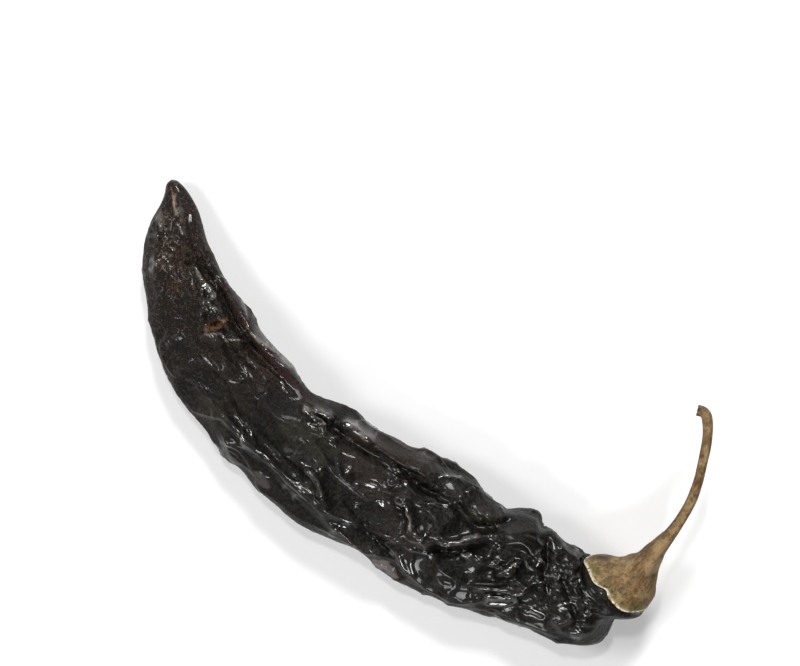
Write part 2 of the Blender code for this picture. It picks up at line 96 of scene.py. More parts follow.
# Folds on the upper side: height, half width and points from above, below 0 for a valley
FOLDS: list[Fold] = [
    (2.0, 1.2, [(-74.5, -7.6), (-68.8, -10.8), (-61.8, -13.6), (-54.8, -15.2), (-47.2, -17.4),
                (-40.0, -19.4), (-31.5, -20.2), (-25.0, -20.4), (-19.0, -21.0)]),
    (-2.2, 1.4, [(-75.0, -10.0), (-70.0, -13.0), (-63.0, -16.0), (-54.5, -17.6), (-47.0, -20.4),
                 (-39.5, -22.4), (-32.0, -22.8), (-24.0, -22.8)]),
    (1.5, 1.2, [(-60.5, -18.6), (-53.5, -19.8), (-47.0, -23.0), (-40.0, -25.0), (-33.0, -25.2)]),
    (1.7, 1.3, [(-83.5, -6.0), (-78.5, -9.2), (-73.5, -12.4), (-69.5, -14.8), (-65.5, -17.0)]),
    (-1.8, 1.6, [(-80.5, -13.0), (-75.0, -17.5), (-69.0, -19.0)]),
    (1.4, 1.2, [(-80.5, -16.5), (-76.0, -21.0), (-71.5, -25.5), (-64.0, -31.0)]),
    (1.4, 1.2, [(-64.0, -17.0), (-59.5, -20.4), (-56.0, -23.0), (-55.0, -26.0), (-49.0, -27.0),
                (-44.0, -28.6)]),
    (1.4, 1.2, [(-52.0, -30.5), (-48.0, -28.5), (-44.5, -26.0), (-40.5, -24.0)]),
    (-1.7, 1.8, [(-53.5, -26.5), (-50.0, -25.0), (-47.0, -24.0)]),
    (1.4, 1.3, [(-46.0, -39.0), (-38.5, -41.0), (-30.0, -41.5), (-20.0, -42.0), (-14.0, -41.5),
                (-4.0, -41.5), (4.5, -41.0), (12.5, -38.5)]),
    (-1.4, 1.6, [(-36.0, -37.5), (-26.0, -38.5), (-14.0, -38.5), (-4.0, -38.0)]),
    (1.4, 1.2, [(-19.5, -24.8), (-15.0, -24.5), (-11.5, -24.8), (-8.0, -26.0)]),
    (1.2, 1.2, [(-16.0, -22.6), (-13.0, -22.0), (-9.5, -21.5)]),
    (1.5, 2.0, [(-8.5, -20.4), (-4.5, -19.2), (-1.0, -18.6), (3.0, -19.0)]),
    (-2.4, 1.6, [(-11.5, -22.6), (-4.5, -22.6), (4.0, -21.0), (9.5, -20.0), (15.5, -18.4),
                 (22.0, -17.4), (28.0, -15.6)]),
    (1.4, 1.2, [(-7.0, -36.5), (-3.5, -35.8), (-0.5, -36.8), (3.0, -39.0), (6.0, -39.5)]),
    (1.7, 1.2, [(15.0, -25.0), (19.0, -24.0), (22.5, -25.5), (25.5, -29.0), (29.5, -28.8),
                (33.0, -26.4), (36.5, -23.0), (40.5, -18.5), (43.0, -15.0)]),
    (-1.8, 1.5, [(32.0, -29.0), (37.0, -25.6), (41.0, -21.4), (44.5, -17.0)]),
    (-1.7, 1.7, [(14.0, -36.5), (18.0, -37.0), (24.0, -37.5), (28.0, -38.5), (31.5, -40.0)]),
    (-2.0, 1.5, [(29.0, -14.6), (33.0, -15.8), (38.0, -15.6), (42.0, -12.0), (43.5, -7.0)]),
    (1.5, 1.2, [(50.5, -23.0), (52.5, -18.5), (53.0, -14.0)]),
    (1.5, 1.2, [(47.0, -29.5), (52.0, -25.5), (57.0, -21.0), (60.5, -18.5)]),
    (1.5, 1.2, [(52.0, -30.5), (53.5, -27.5), (57.0, -25.0), (58.5, -21.5)]),
    (-1.8, 1.3, [(53.0, -4.5), (56.5, -8.0), (59.5, -12.0), (64.0, -15.5)]),
    (-1.3, 1.4, [(62.5, -9.0), (67.5, -12.0), (72.5, -14.0), (76.5, -17.0)]),
    (1.5, 1.2, [(68.5, -21.0), (72.0, -19.5), (73.5, -16.0)]),
]

# Swellings and hollows on the upper side: middle x and y, half length, half width,
# heading in degrees, and height
SWELLINGS: list[Row] = [
    (36.0, -11.5, 6.5, 4.4, 25.0, 1.9),
    (49.0, -10.0, 5.5, 5.5, 35.0, 1.3),
    (7.0, -17.5, 14.0, 3.2, 18.0, 1.5),
    (27.0, -22.0, 5.0, 4.0, 40.0, 1.1),
    (45.0, -23.5, 7.0, 3.0, 50.0, 1.2),
    (-22.0, -31.0, 12.0, 5.0, 5.0, 0.9),
    (-62.0, -26.0, 7.0, 4.5, -40.0, 1.0),
    (-50.0, -33.0, 9.0, 4.0, -28.0, -0.9),
    (14.0, -30.5, 9.0, 4.0, 12.0, -1.1),
    (62.0, -12.5, 4.5, 5.5, 40.0, -1.0),
    (73.0, -17.0, 5.0, 4.0, 60.0, 0.9),
    (26.0, -40.5, 5.0, 3.0, 12.0, 0.9),
]


# Sharp fine wrinkles on the upper side: height, half width and points from above
WRINKLES: list[Fold] = [
    (1.35, 0.7, [(-84.4, -6.0), (-82.1, -7.6), (-79.3, -9.5), (-77.5, -10.5)]),
    (0.9, 0.5, [(-77.2, -11.7), (-75.3, -12.1), (-72.6, -13.7)]),
    (0.75, 0.5, [(-83.1, -13.8), (-80.4, -15.5), (-79.0, -16.0)]),
    (0.75, 0.5, [(-79.2, -18.8), (-77.0, -17.1), (-74.2, -14.1)]),
    (0.9, 0.6, [(-75.7, -18.9), (-74.0, -15.8), (-72.6, -15.3)]),
    (0.9, 0.6, [(-74.4, -21.1), (-72.4, -20.0), (-71.0, -18.7)]),
    (0.75, 0.6, [(-75.5, -24.8), (-74.6, -23.2), (-72.9, -23.9), (-73.0, -25.8), (-74.8, -25.7)]),
    (0.75, 0.6, [(-71.5, -23.3), (-70.3, -21.4), (-68.5, -21.3)]),
    (-2.2, 0.9, [(-69.4, -16.2), (-67.7, -17.2), (-66.1, -18.3)]),
    (0.6, 0.5, [(-76.7, -7.0), (-75.2, -8.2), (-72.5, -11.4)]),
    (0.75, 0.45, [(-52.1, -27.3), (-51.8, -24.4), (-50.0, -22.0)]),
    (0.75, 0.45, [(-51.5, -28.3), (-49.2, -26.0), (-48.5, -22.4)]),
    (-1.05, 0.8, [(-51.3, -27.3), (-50.3, -25.2), (-49.4, -22.6)]),
    (1.2, 0.6, [(-67.2, -16.3), (-65.1, -17.3), (-61.8, -18.7), (-58.9, -19.0), (-56.0, -19.3),
                (-55.9, -21.8), (-54.7, -22.3), (-52.7, -21.5), (-49.2, -21.3)]),
    (0.75, 0.5, [(-59.6, -15.9), (-57.9, -16.5), (-56.0, -17.7)]),
    (1.2, 0.6, [(-59.8, -14.9), (-58.0, -14.4), (-54.5, -14.1), (-52.0, -14.8), (-49.6, -15.6),
                (-47.1, -17.0), (-44.5, -18.3)]),
    (0.6, 0.5, [(-45.6, -15.9), (-42.7, -16.6)]),
    (0.6, 0.5, [(-67.9, -27.9), (-66.2, -27.8)]),
    (0.6, 0.5, [(-64.6, -28.2), (-64.5, -26.7)]),
    (0.6, 0.5, [(-55.0, -25.6), (-55.3, -22.8)]),
    (1.05, 0.5, [(-51.6, -29.0), (-49.8, -28.2), (-47.7, -25.9), (-43.7, -24.3), (-41.8, -22.7),
                (-40.2, -22.6)]),
    (0.9, 0.5, [(-45.6, -18.7), (-42.1, -19.6), (-38.9, -20.0), (-34.3, -19.9)]),
    (1.35, 0.7, [(-44.0, -16.7), (-40.8, -17.9), (-37.3, -18.5), (-33.1, -18.8), (-30.3, -18.7),
                (-26.5, -18.6), (-23.0, -19.1)]),
    (0.7, 0.5, [(-22.0, -19.8), (-19.7, -19.6)]),
    (0.5, 0.6, [(-38.7, -28.3), (-36.5, -25.6), (-32.6, -24.3), (-29.1, -24.0), (-23.6, -23.9),
                (-19.9, -23.8)]),
    (0.9, 0.5, [(-19.2, -24.1), (-16.6, -24.6), (-14.9, -24.6), (-12.0, -24.0), (-8.7, -24.8)]),
    (0.8, 0.5, [(-16.2, -23.3), (-13.9, -22.0), (-9.7, -21.5)]),
    (0.6, 0.5, [(-49.3, -36.4), (-47.7, -35.9)]),
    (0.6, 0.6, [(-43.6, -45.2), (-39.2, -45.8), (-35.0, -43.6), (-31.8, -41.5), (-28.5, -41.8),
                (-23.7, -41.9), (-19.3, -42.0), (-17.0, -40.9), (-13.2, -41.3), (-9.7, -41.4)]),
    (0.5, 0.6, [(-31.6, -41.7), (-29.5, -43.5), (-26.9, -45.8), (-22.5, -44.6), (-19.2, -45.3),
                (-16.0, -46.1), (-12.8, -44.9), (-10.2, -45.4)]),
    (0.5, 0.5, [(-27.1, -37.9), (-24.3, -38.6), (-21.3, -40.4), (-19.3, -40.3)]),
    (0.8, 0.5, [(-7.1, -36.4), (-4.6, -35.9), (-1.8, -36.2), (1.0, -37.8), (2.9, -38.7)]),
    (0.6, 0.6, [(-3.8, -33.7), (-1.3, -34.0)]),
    (0.5, 0.6, [(-4.7, -15.7), (-1.2, -16.1), (1.3, -15.5)]),
    (1.0, 1.1, [(-8.5, -20.0), (-4.9, -19.5), (-1.6, -19.0), (2.6, -18.8)]),
    (-0.8, 0.8, [(3.1, -20.2), (6.6, -19.4), (10.6, -19.0), (13.9, -18.1), (18.8, -16.4),
                 (21.8, -16.5)]),
    (0.6, 0.5, [(9.7, -19.5), (13.6, -19.6)]),
    (0.7, 0.5, [(10.3, -19.5), (13.2, -19.3), (17.0, -20.8), (20.7, -21.3)]),
    (0.4, 0.6, [(5.7, -30.1), (9.0, -28.2), (11.9, -26.8)]),
    (0.5, 0.6, [(9.5, -34.6), (11.4, -32.6)]),
    (-0.7, 0.8, [(6.4, -34.9), (13.1, -35.4), (16.7, -35.5)]),
    (0.5, 0.5, [(-1.1, -29.4), (0.6, -30.0), (2.1, -30.8)]),
    (0.5, 0.5, [(2.8, -30.4), (2.7, -28.3), (2.4, -27.2)]),
    (0.6, 0.6, [(17.3, -36.1), (21.2, -38.0), (24.5, -37.0), (27.6, -36.2)]),
    (0.6, 0.5, [(23.6, -34.5), (25.1, -31.3), (28.1, -30.2), (30.4, -27.8)]),
    (0.9, 0.5, [(32.6, -26.0), (34.2, -25.3), (37.0, -22.2), (39.8, -18.0), (42.6, -14.3)]),
    (0.6, 0.45, [(36.4, -21.6), (38.3, -18.9), (40.2, -16.0)]),
    (0.9, 0.5, [(15.7, -25.2), (17.9, -25.4), (19.8, -24.2)]),
    (0.9, 0.5, [(18.5, -26.7), (19.8, -24.2), (21.5, -25.7), (23.5, -26.6), (25.1, -28.6),
                (27.4, -29.8)]),
    (0.7, 0.6, [(21.0, -13.4), (22.7, -11.8), (25.5, -10.0), (25.5, -8.5)]),
    (0.7, 0.5, [(29.7, -11.4), (30.3, -8.5)]),
    (0.6, 0.5, [(23.8, -20.9), (25.2, -19.3), (27.9, -17.4), (29.1, -16.3)]),
    (-0.9, 0.8, [(30.9, -12.8), (35.3, -13.8), (39.4, -13.3), (40.9, -11.3)]),
    (0.8, 1.2, [(38.9, -24.3), (41.7, -23.6), (42.2, -21.7)]),
    (0.8, 0.5, [(50.3, -22.4), (51.4, -19.4), (52.2, -16.1), (53.0, -13.9)]),
    (0.7, 0.5, [(48.5, -20.1), (48.4, -18.0), (50.1, -16.9)]),
    (0.6, 0.5, [(52.1, -20.9), (53.0, -18.8), (52.7, -16.8)]),
    (0.9, 0.6, [(53.8, -11.7), (54.1, -9.7), (56.0, -10.8), (57.4, -13.4)]),
    (0.6, 0.5, [(47.0, -29.2), (51.8, -25.3), (57.2, -21.9), (60.1, -18.8)]),
    (-0.7, 0.6, [(44.7, -29.6), (48.9, -26.2), (54.1, -21.8)]),
    (0.7, 0.5, [(51.5, -29.2), (53.8, -26.8), (56.0, -24.9), (58.2, -22.4)]),
    (0.8, 0.5, [(53.5, -30.2), (54.8, -28.4), (58.2, -25.4), (59.0, -23.8), (58.8, -21.8)]),
    (0.8, 0.6, [(62.5, -24.5), (63.8, -22.4), (66.1, -21.7), (68.0, -21.3)]),
    (0.8, 0.5, [(68.2, -18.6), (68.9, -15.1), (70.7, -12.8), (72.7, -13.1), (72.0, -14.7)]),
    (0.8, 0.6, [(75.1, -16.6), (77.9, -16.8)]),
    (0.6, 0.6, [(76.6, -20.3), (77.3, -18.6), (79.0, -18.6)]),
    (0.8, 0.6, [(62.9, -11.7), (63.0, -10.1), (63.7, -11.4)]),
    (0.6, 0.5, [(61.1, -3.2), (63.2, -1.2), (64.9, -0.6)]),
    (0.6, 0.5, [(58.4, -5.1), (58.4, -3.1)]),
    (0.6, 0.5, [(64.6, -9.4), (67.1, -7.1), (68.8, -7.8)]),
    (0.6, 0.5, [(60.0, -14.4), (62.1, -16.2), (63.6, -18.5)]),
    (0.6, 0.5, [(62.5, -13.9), (64.6, -15.3), (65.5, -17.4)]),
    (0.6, 0.5, [(21.5, -36.5), (24.6, -35.6), (27.6, -35.7), (33.1, -38.6)]),
    (0.5, 0.6, [(29.2, -31.4), (32.0, -35.6), (35.5, -37.5)]),
    (0.6, 0.5, [(72.2, -9.2), (74.5, -10.4), (75.8, -12.9)]),
    (0.6, 0.5, [(72.1, -6.7), (74.8, -7.6), (76.6, -9.9)]),
]


# Where the skin is crinkled finely: middle x and y, half length, half width, heading in
# degrees, and how strongly
CRINKLES: list[Row] = [
    (-72.0, -17.9, 8.0, 5.9, 98.0, 0.75),
    (-66.1, -30.1, 8.1, 2.7, 118.0, 0.3),
    (-79.0, -13.0, 6.0, 5.0, 70.0, 0.4),
    (-66.0, -23.0, 13.0, 6.5, 135.0, 0.3),
    (-44.9, -24.3, 5.9, 4.3, 88.0, 0.45),
    (-2.0, -18.7, 4.3, 3.8, 43.0, 0.45),
    (18.1, -25.0, 10.8, 4.3, 8.0, 0.6),
    (13.7, -12.4, 8.1, 4.3, 13.0, 0.2),
    (53.1, -18.0, 7.0, 5.9, 43.0, 0.8),
    (56.8, -26.7, 9.2, 3.8, 28.0, 0.7),
    (66.2, -13.0, 9.2, 9.2, 43.0, 0.65),
    (72.7, -19.9, 7.6, 5.4, 43.0, 0.6),
    (64.3, -1.1, 4.9, 3.2, 43.0, 0.6),
    (71.5, -8.0, 7.0, 7.0, 43.0, 0.9),
    (41.7, -34.3, 8.1, 3.2, 23.0, 0.35),
    (-7.1, -37.6, 8.1, 3.8, 3.0, 0.2),
]


class Tone(Enum):
    """The colours of the skin's stains, and of the painted floor reflection along its outer edge."""

    ORANGE = "orange"
    OLIVE = "olive"
    RED = "red"
    BROWN = "brown"
    DUST_AND_PAINTED_REFLECTION = "dust_and_painted_sheen"
    RUST = "rust"


# Stains along lines seen from above: colour, share, half width and points. The pale stains along the outer
# edge's side are painted reflection of the floor.
STAINS: list[tuple[Tone, float, float, list[Point]]] = [
    (Tone.ORANGE, 0.8, 0.45, [(-85.1, -6.1), (-82.6, -7.5), (-80.4, -9.1), (-78.1, -10.3)]),
    (Tone.ORANGE, 0.75, 0.9, [(-51.6, -27.6), (-50.5, -25.4), (-49.2, -21.6)]),
    (Tone.ORANGE, 0.35, 0.4, [(-77.7, -9.5), (-75.5, -10.7)]),
    (Tone.OLIVE, 0.8, 1.0, [(-82.8, -13.2), (-80.7, -14.6), (-78.7, -16.0)]),
    (Tone.DUST_AND_PAINTED_REFLECTION, 0.5, 0.7, [(-83.0, -12.6), (-81.0, -14.2), (-78.7, -16.4)]),
    (Tone.OLIVE, 0.7, 0.8, [(-81.8, -11.5), (-79.2, -13.5)]),
    (Tone.OLIVE, 0.35, 5.0, [(-18.4, -31.5), (-10.7, -29.9), (-3.9, -27.2)]),
    (Tone.OLIVE, 0.5, 1.6, [(-4.9, -40.0), (-1.1, -40.1)]),
    (Tone.OLIVE, 0.3, 4.0, [(-39.7, -42.4), (-29.3, -43.6)]),
    (Tone.OLIVE, 0.35, 3.0, [(34.6, -15.0), (39.6, -8.4)]),
    (Tone.RED, 0.9, 1.3, [(-56.3, -15.3), (-50.2, -17.0), (-42.9, -19.3), (-34.7, -20.9),
                          (-25.7, -21.8), (-18.8, -21.2)]),
    (Tone.RED, 0.5, 1.2, [(-80.1, -6.2), (-76.1, -6.9)]),
    (Tone.RED, 0.25, 1.5, [(36.0, -32.2), (38.9, -31.3)]),
    (Tone.BROWN, 0.9, 3.0, [(-3.8, -21.5), (3.1, -16.9), (11.7, -14.3), (18.4, -13.5)]),
    (Tone.BROWN, 0.6, 4.5, [(-2.0, -25.3), (7.6, -25.6), (15.1, -27.8)]),
    (Tone.BROWN, 0.6, 3.0, [(18.9, -31.7), (23.7, -30.9), (29.4, -29.1)]),
    (Tone.BROWN, 0.7, 3.0, [(-20.1, -23.8), (-14.3, -24.0)]),
    # Painted reflection of the floor: this pale stain and the next two lie on the outer edge's side
    (Tone.DUST_AND_PAINTED_REFLECTION, 0.95, 1.6, [(24.1, -41.6), (27.7, -41.1), (31.4, -41.0)]),
    (Tone.DUST_AND_PAINTED_REFLECTION, 0.35, 1.4, [(-15.4, -46.1), (-10.4, -46.7)]),
    (Tone.DUST_AND_PAINTED_REFLECTION, 0.12, 1.0, [(-79.8, -20.7), (-75.7, -26.2)]),
    (Tone.RUST, 0.7, 3.2, [(-75.5, -18.0), (-71.9, -19.3), (-68.6, -19.8)]),
    (Tone.RUST, 0.5, 2.2, [(-67.7, -24.5), (-64.8, -25.2)]),
    (Tone.RUST, 0.4, 1.0, [(-69.8, -13.6), (-67.2, -14.8)]),
    (Tone.RUST, 0.25, 2.5, [(-42.0, -24.1), (-33.1, -25.0), (-24.5, -25.1)]),
]


class Node(Enum):
    """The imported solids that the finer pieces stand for."""

    POD = "pod"
    STEM = "stem_with_calyx"


class Slot(Enum):
    """The record's material slots."""

    SKIN = "dried_skin"
    STEM = "dried_stem"


def smoothstep(value: Any) -> Any:
    """Eases a value or an array from 0 to 1."""
    held = np.clip(value, 0.0, 1.0)
    return held * held * (3.0 - 2.0 * held)


def spline(rows: np.ndarray, where: np.ndarray) -> np.ndarray:
    """Reads rows of numbers at fractional rows, along a smooth curve through them.

    Args:
        rows: one row of numbers for each point of the curve.
        where: the fractional rows to read.

    Returns:
        One row of numbers for each place read.
    """
    last = len(rows) - 1
    index = np.minimum(where.astype(int), last - 1)
    part = (where - index)[:, None]
    before, start = rows[np.maximum(index - 1, 0)], rows[index]
    end, after = rows[index + 1], rows[np.minimum(index + 2, last)]
    bend = 2 * before - 5 * start + 4 * end - after
    twist = 3 * start - before - 3 * end + after
    return start + 0.5 * part * (end - before + part * (bend + part * twist))


def distance_to_line(flat: np.ndarray, points: list[Point]) -> tuple[np.ndarray, np.ndarray]:
    """Measures how far points lie from a line seen from above.

    Args:
        flat: x and y of each point.
        points: the line's own points.

    Returns:
        The distance to the line, and how far along it that is, from 0 to 1.
    """
    best = np.full(len(flat), 1e9)
    along = np.zeros(len(flat))
    for index, (start, end) in enumerate(zip(points, points[1:])):
        run = np.subtract(end, start)
        off = flat - start
        part = np.clip(off @ run / (run @ run), 0.0, 1.0)
        gap = np.hypot(*(off - part[:, None] * run).T)
        nearer = gap < best
        best = np.where(nearer, gap, best)
        along = np.where(nearer, (index + part) / (len(points) - 1), along)
    return best, along


def oval_places(flat: np.ndarray, oval: list[float]) -> tuple[np.ndarray, np.ndarray]:
    """Places points in a turned oval seen from above.

    Args:
        flat: x and y of each point.
        oval: its middle's x and y, half length, half width and heading in degrees.

    Returns:
        How far along it and to its side each point lies, in half lengths and half widths.
    """
    mid_x, mid_y, half_length, half_width, heading = oval
    turn = math.radians(heading)
    x, y = flat[:, 0] - mid_x, flat[:, 1] - mid_y
    along = x * math.cos(turn) + y * math.sin(turn)
    side = y * math.cos(turn) - x * math.sin(turn)
    return along / half_length, side / half_width


def degrees_from(middle: float, angle: np.ndarray) -> np.ndarray:
    """Turns angles in radians into degrees from a middle, the short way round."""
    return (np.degrees(angle) - middle + 180.0) % 360.0 - 180.0


def add_ball(name: str, columns: int, rows: int) -> bpy.types.Object:
    """Adds a ball primitive, with its poles on Z, to be shaped into a piece.

    Args:
        name: the piece's name.
        columns: how many columns of faces run from pole to pole.
        rows: how many rows of faces lie between the poles.

    Returns:
        The new object.
    """
    bpy.ops.object.select_all(action="DESELECT")
    bpy.ops.mesh.primitive_uv_sphere_add(segments=columns, ring_count=rows, radius=1.0)
    piece = bpy.context.object
    piece.name = name
    piece.data.name = name
    return piece


def ball_places(piece: bpy.types.Object, rows: int) -> tuple[np.ndarray, np.ndarray]:
    """Reads the row from the top pole and the angle round Z of each vertex of a ball.

    Args:
        piece: the ball.
        rows: how many rows of faces it has.

    Returns:
        The row number and the angle of each vertex.
    """
    co = mesh_points(piece)
    row = np.rint(np.arccos(np.clip(co[:, 2], -1.0, 1.0)) / math.pi * rows).astype(int)
    return row, np.arctan2(co[:, 1], co[:, 0])


def mesh_points(piece: bpy.types.Object) -> np.ndarray:
    """Reads the places of a piece's vertices.

    Args:
        piece: the piece to read.

    Returns:
        One row for each vertex.
    """
    flat = np.zeros(len(piece.data.vertices) * 3)
    piece.data.vertices.foreach_get("co", flat)
    return flat.reshape(-1, 3)


def mesh_normals(piece: bpy.types.Object) -> np.ndarray:
    """Reads the normals of a piece's vertices.

    Args:
        piece: the piece to read.

    Returns:
        One row for each vertex.
    """
    flat = np.zeros(len(piece.data.vertices) * 3)
    piece.data.vertices.foreach_get("normal", flat)
    return flat.reshape(-1, 3)


def move_points(piece: bpy.types.Object, points: np.ndarray) -> None:
    """Moves a piece's vertices to new places."""
    piece.data.vertices.foreach_set("co", points.ravel())
    piece.data.update()


def add_value(piece: bpy.types.Object, name: str, values: np.ndarray) -> None:
    """Keeps one number at each vertex of a piece, for its material to read."""
    attribute = piece.data.attributes.new(name, "FLOAT", "POINT")
    attribute.data.foreach_set("value", values.astype(np.float32))


def average_over(piece: bpy.types.Object, values: np.ndarray, times: int) -> np.ndarray:
    """Averages values over each vertex's neighbours, several times over.

    Args:
        piece: the piece that the values belong to.
        values: one number for each vertex.
        times: how many times to average.

    Returns:
        The smoothed numbers.
    """
    pairs = np.zeros(len(piece.data.edges) * 2, int)
    piece.data.edges.foreach_get("vertices", pairs)
    first, second = pairs.reshape(-1, 2).T
    count = np.bincount(pairs, minlength=len(values)).astype(float)
    smooth = values.astype(float)
    for _ in range(times):
        total = np.bincount(first, smooth[second], len(values))
        total += np.bincount(second, smooth[first], len(values))
        smooth = total / count
    return smooth


def cell_distances(spots: np.ndarray, cell: Point, warp: float, seed: float) -> np.ndarray:
    """Measures how far spots lie from the middles of a warped net of cells.

    Args:
        spots: distance along the pod, place across it and height, in millimetres.
        cell: a cell's length along the pod and its width, in millimetres.
        warp: how strongly the net is warped.
        seed: a shift that gives each net its own places.

    Returns:
        The distances to the nearest and the next middle, in cells, for each spot.
    """
    length, width = cell
    found = np.zeros((len(spots), 2))
    shrink = np.array([1.0 / length, 1.0 / width, 1.0 / width])
    for index, row in enumerate(spots * shrink + seed):
        place = Vector(row)
        place += noise.noise_vector(place * WARP_DETAIL) * warp
        found[index] = noise.voronoi(place)[0][:2]
    return found


@dataclass
class Relief:
    """Hollows of one size that meet in ridges, over a whole surface."""

    length: float
    width: float
    depth: float
    reach: float
    warp: float
    seed: float = 0.0

    def heights(self, spots: np.ndarray) -> np.ndarray:
        """Finds the relief at each spot.

        Args:
            spots: distance along the pod, place across it and height, in millimetres.

        Returns:
            Heights from minus depth in a hollow to 0 on a ridge, in millimetres.
        """
        nearest = cell_distances(spots, (self.length, self.width), self.warp, self.seed)[:, 0]
        return (np.minimum((nearest / self.reach) ** 2, 1.0) - 1.0) * self.depth


@dataclass
class Seams:
    """Sharp crests of one size that meet in a net, over a whole surface."""

    length: float
    width: float
    half_width: float
    warp: float
    seed: float = 0.0

    def heights(self, spots: np.ndarray) -> np.ndarray:
        """Finds the crests at each spot.

        Args:
            spots: distance along the pod, place across it and height, in millimetres.

        Returns:
            Values from 0 away from a crest to 1 on it.
        """
        found = cell_distances(spots, (self.length, self.width), self.warp, self.seed)
        gaps = found[:, 1] - found[:, 0]
        return np.exp(-gaps * self.width / self.half_width)


class StemAxis:
    """The curved middle line of the calyx and stem, with a frame at each distance past the mouth."""

    STEP = 0.25
    LOOK = 0.6
    STRAIGHT = 5.0
    TURN_LENGTH = 9.0
    SAMPLES = 24
    MOUTH = np.array([76.0, -1.6, 11.0])
    RISE = math.radians(30.0)
    HEADING = math.radians(94.2)
    PATH = [
        (77.4, 1.1, 12.5),
        (78.0, 3.7, 14.0),
        (77.8, 5.9, 15.2),
        (77.4, 8.8, 16.8),
        (76.8, 12.2, 18.0),
        (76.7, 15.1, 18.8),
        (76.6, 18.3, 19.5),
        (75.8, 23.1, 20.2),
        (74.5, 28.2, 20.7),
        (72.2, 33.5, 21.0),
        (69.4, 38.3, 21.1),
        (66.5, 43.0, 21.0),
        (63.1, 46.8, 20.8),
        (60.9, 47.9, 20.6),
        (58.9, 47.0, 20.4),
    ]

    def __init__(self) -> None:
        """Sets the mouth's frame and measures the middle line off in even steps."""
        upright = np.array([0.0, 0.0, 1.0])
        level = np.array([math.cos(self.HEADING), math.sin(self.HEADING), 0.0])
        self.forward = level * math.cos(self.RISE) + upright * math.sin(self.RISE)
        self.across = np.cross(level, upright)
        self.up = np.cross(self.across, self.forward)
        behind = self.MOUTH - self.forward * self.STRAIGHT
        rows = np.array([tuple(behind), tuple(self.MOUTH)] + self.PATH)
        steps = (len(rows) - 2) * self.SAMPLES
        fine = spline(rows, 1.0 + np.arange(steps + 1) / self.SAMPLES)
        walked = np.concatenate([[0.0], np.cumsum(np.linalg.norm(np.diff(fine, axis=0), axis=1))])
        count = int(walked[-1] / self.STEP)
        self.places = np.arange(count + 1) * self.STEP
        self.points = np.array([np.interp(self.places, walked, fine[:, i]) for i in range(3)]).T
        self.length = self.places[-1]

    def centre(self, distance: np.ndarray) -> np.ndarray:
        """Finds the points of the middle line.

        Args:
            distance: distances past the mouth, in millimetres.

        Returns:
            One point for each distance.
        """
        inside = np.array([np.interp(distance, self.places, self.points[:, i]) for i in range(3)]).T
        behind = self.MOUTH + self.forward * np.minimum(distance, 0.0)[:, None]
        return np.where(distance[:, None] <= 0.0, behind, inside)

    def frame(self, distance: np.ndarray) -> tuple[np.ndarray, np.ndarray, np.ndarray]:
        """Finds the frames at distances past the mouth.

        Args:
            distance: distances past the mouth, in millimetres.

        Returns:
            Centres, across vectors and up vectors.
        """
        middle = np.clip(distance, self.LOOK, self.length - self.LOOK)
        ahead = unit(self.centre(middle + self.LOOK) - self.centre(middle - self.LOOK))
        turned = smoothstep((distance - self.STRAIGHT) / self.TURN_LENGTH)[:, None]
        forward = unit(self.forward * (1.0 - turned) + ahead * turned)
        up = unit(self.up - forward * (forward @ self.up)[:, None])
        return self.centre(distance), np.cross(forward, up), up


def unit(vectors: np.ndarray) -> np.ndarray:
    """Brings vectors to length 1, and leaves a vector of no length as it is."""
    return vectors / np.maximum(np.linalg.norm(vectors, axis=1), 1e-12)[:, None]


AXIS = StemAxis()
# The pod's neck under the calyx: distances past the mouth and radii
NECK: list[Point] = [(-2.0, 10.4), (-0.5, 10.0), (1.0, 9.2), (2.4, 7.7), (3.7, 5.4), (4.6, 2.9), (5.0, 0.0)]


class Link:
    """A shader value: a socket of a node, with the operators that the materials use."""

    def __init__(self, shader: "Shader", socket: Any) -> None:
        """Holds the socket and the material that it belongs to."""
        self.shader = shader
        self.socket = socket

    def calculate(self, operation: str, first: Any, second: Any, clamp: bool = False) -> "Link":
        """Adds a Math node.

        Args:
            operation: the Math node's operation.
            first: its first value or link.
            second: its second value or link.
            clamp: whether the result is held between 0 and 1.

        Returns:
            The node's result.
        """
        settings = {"operation": operation, "use_clamp": clamp}
        return self.shader.node("ShaderNodeMath", settings, {0: first, 1: second})

    def __add__(self, other: Any) -> "Link":
        """Adds."""
        return self.calculate("ADD", self, other)

    def __radd__(self, other: Any) -> "Link":
        """Adds, from the right."""
        return self.calculate("ADD", other, self)

    def __sub__(self, other: Any) -> "Link":
        """Subtracts."""
        return self.calculate("SUBTRACT", self, other)

    def __rsub__(self, other: Any) -> "Link":
        """Subtracts, from the right."""
        return self.calculate("SUBTRACT", other, self)

    def __mul__(self, other: Any) -> "Link":
        """Multiplies."""
        return self.calculate("MULTIPLY", self, other)

    def __rmul__(self, other: Any) -> "Link":
        """Multiplies, from the right."""
        return self.calculate("MULTIPLY", other, self)

    def size(self) -> "Link":
        """Drops the value's sign."""
        return self.calculate("ABSOLUTE", self, 0.0)

    def held(self) -> "Link":
        """Holds the value between 0 and 1."""
        return self.calculate("ADD", self, 0.0, clamp=True)


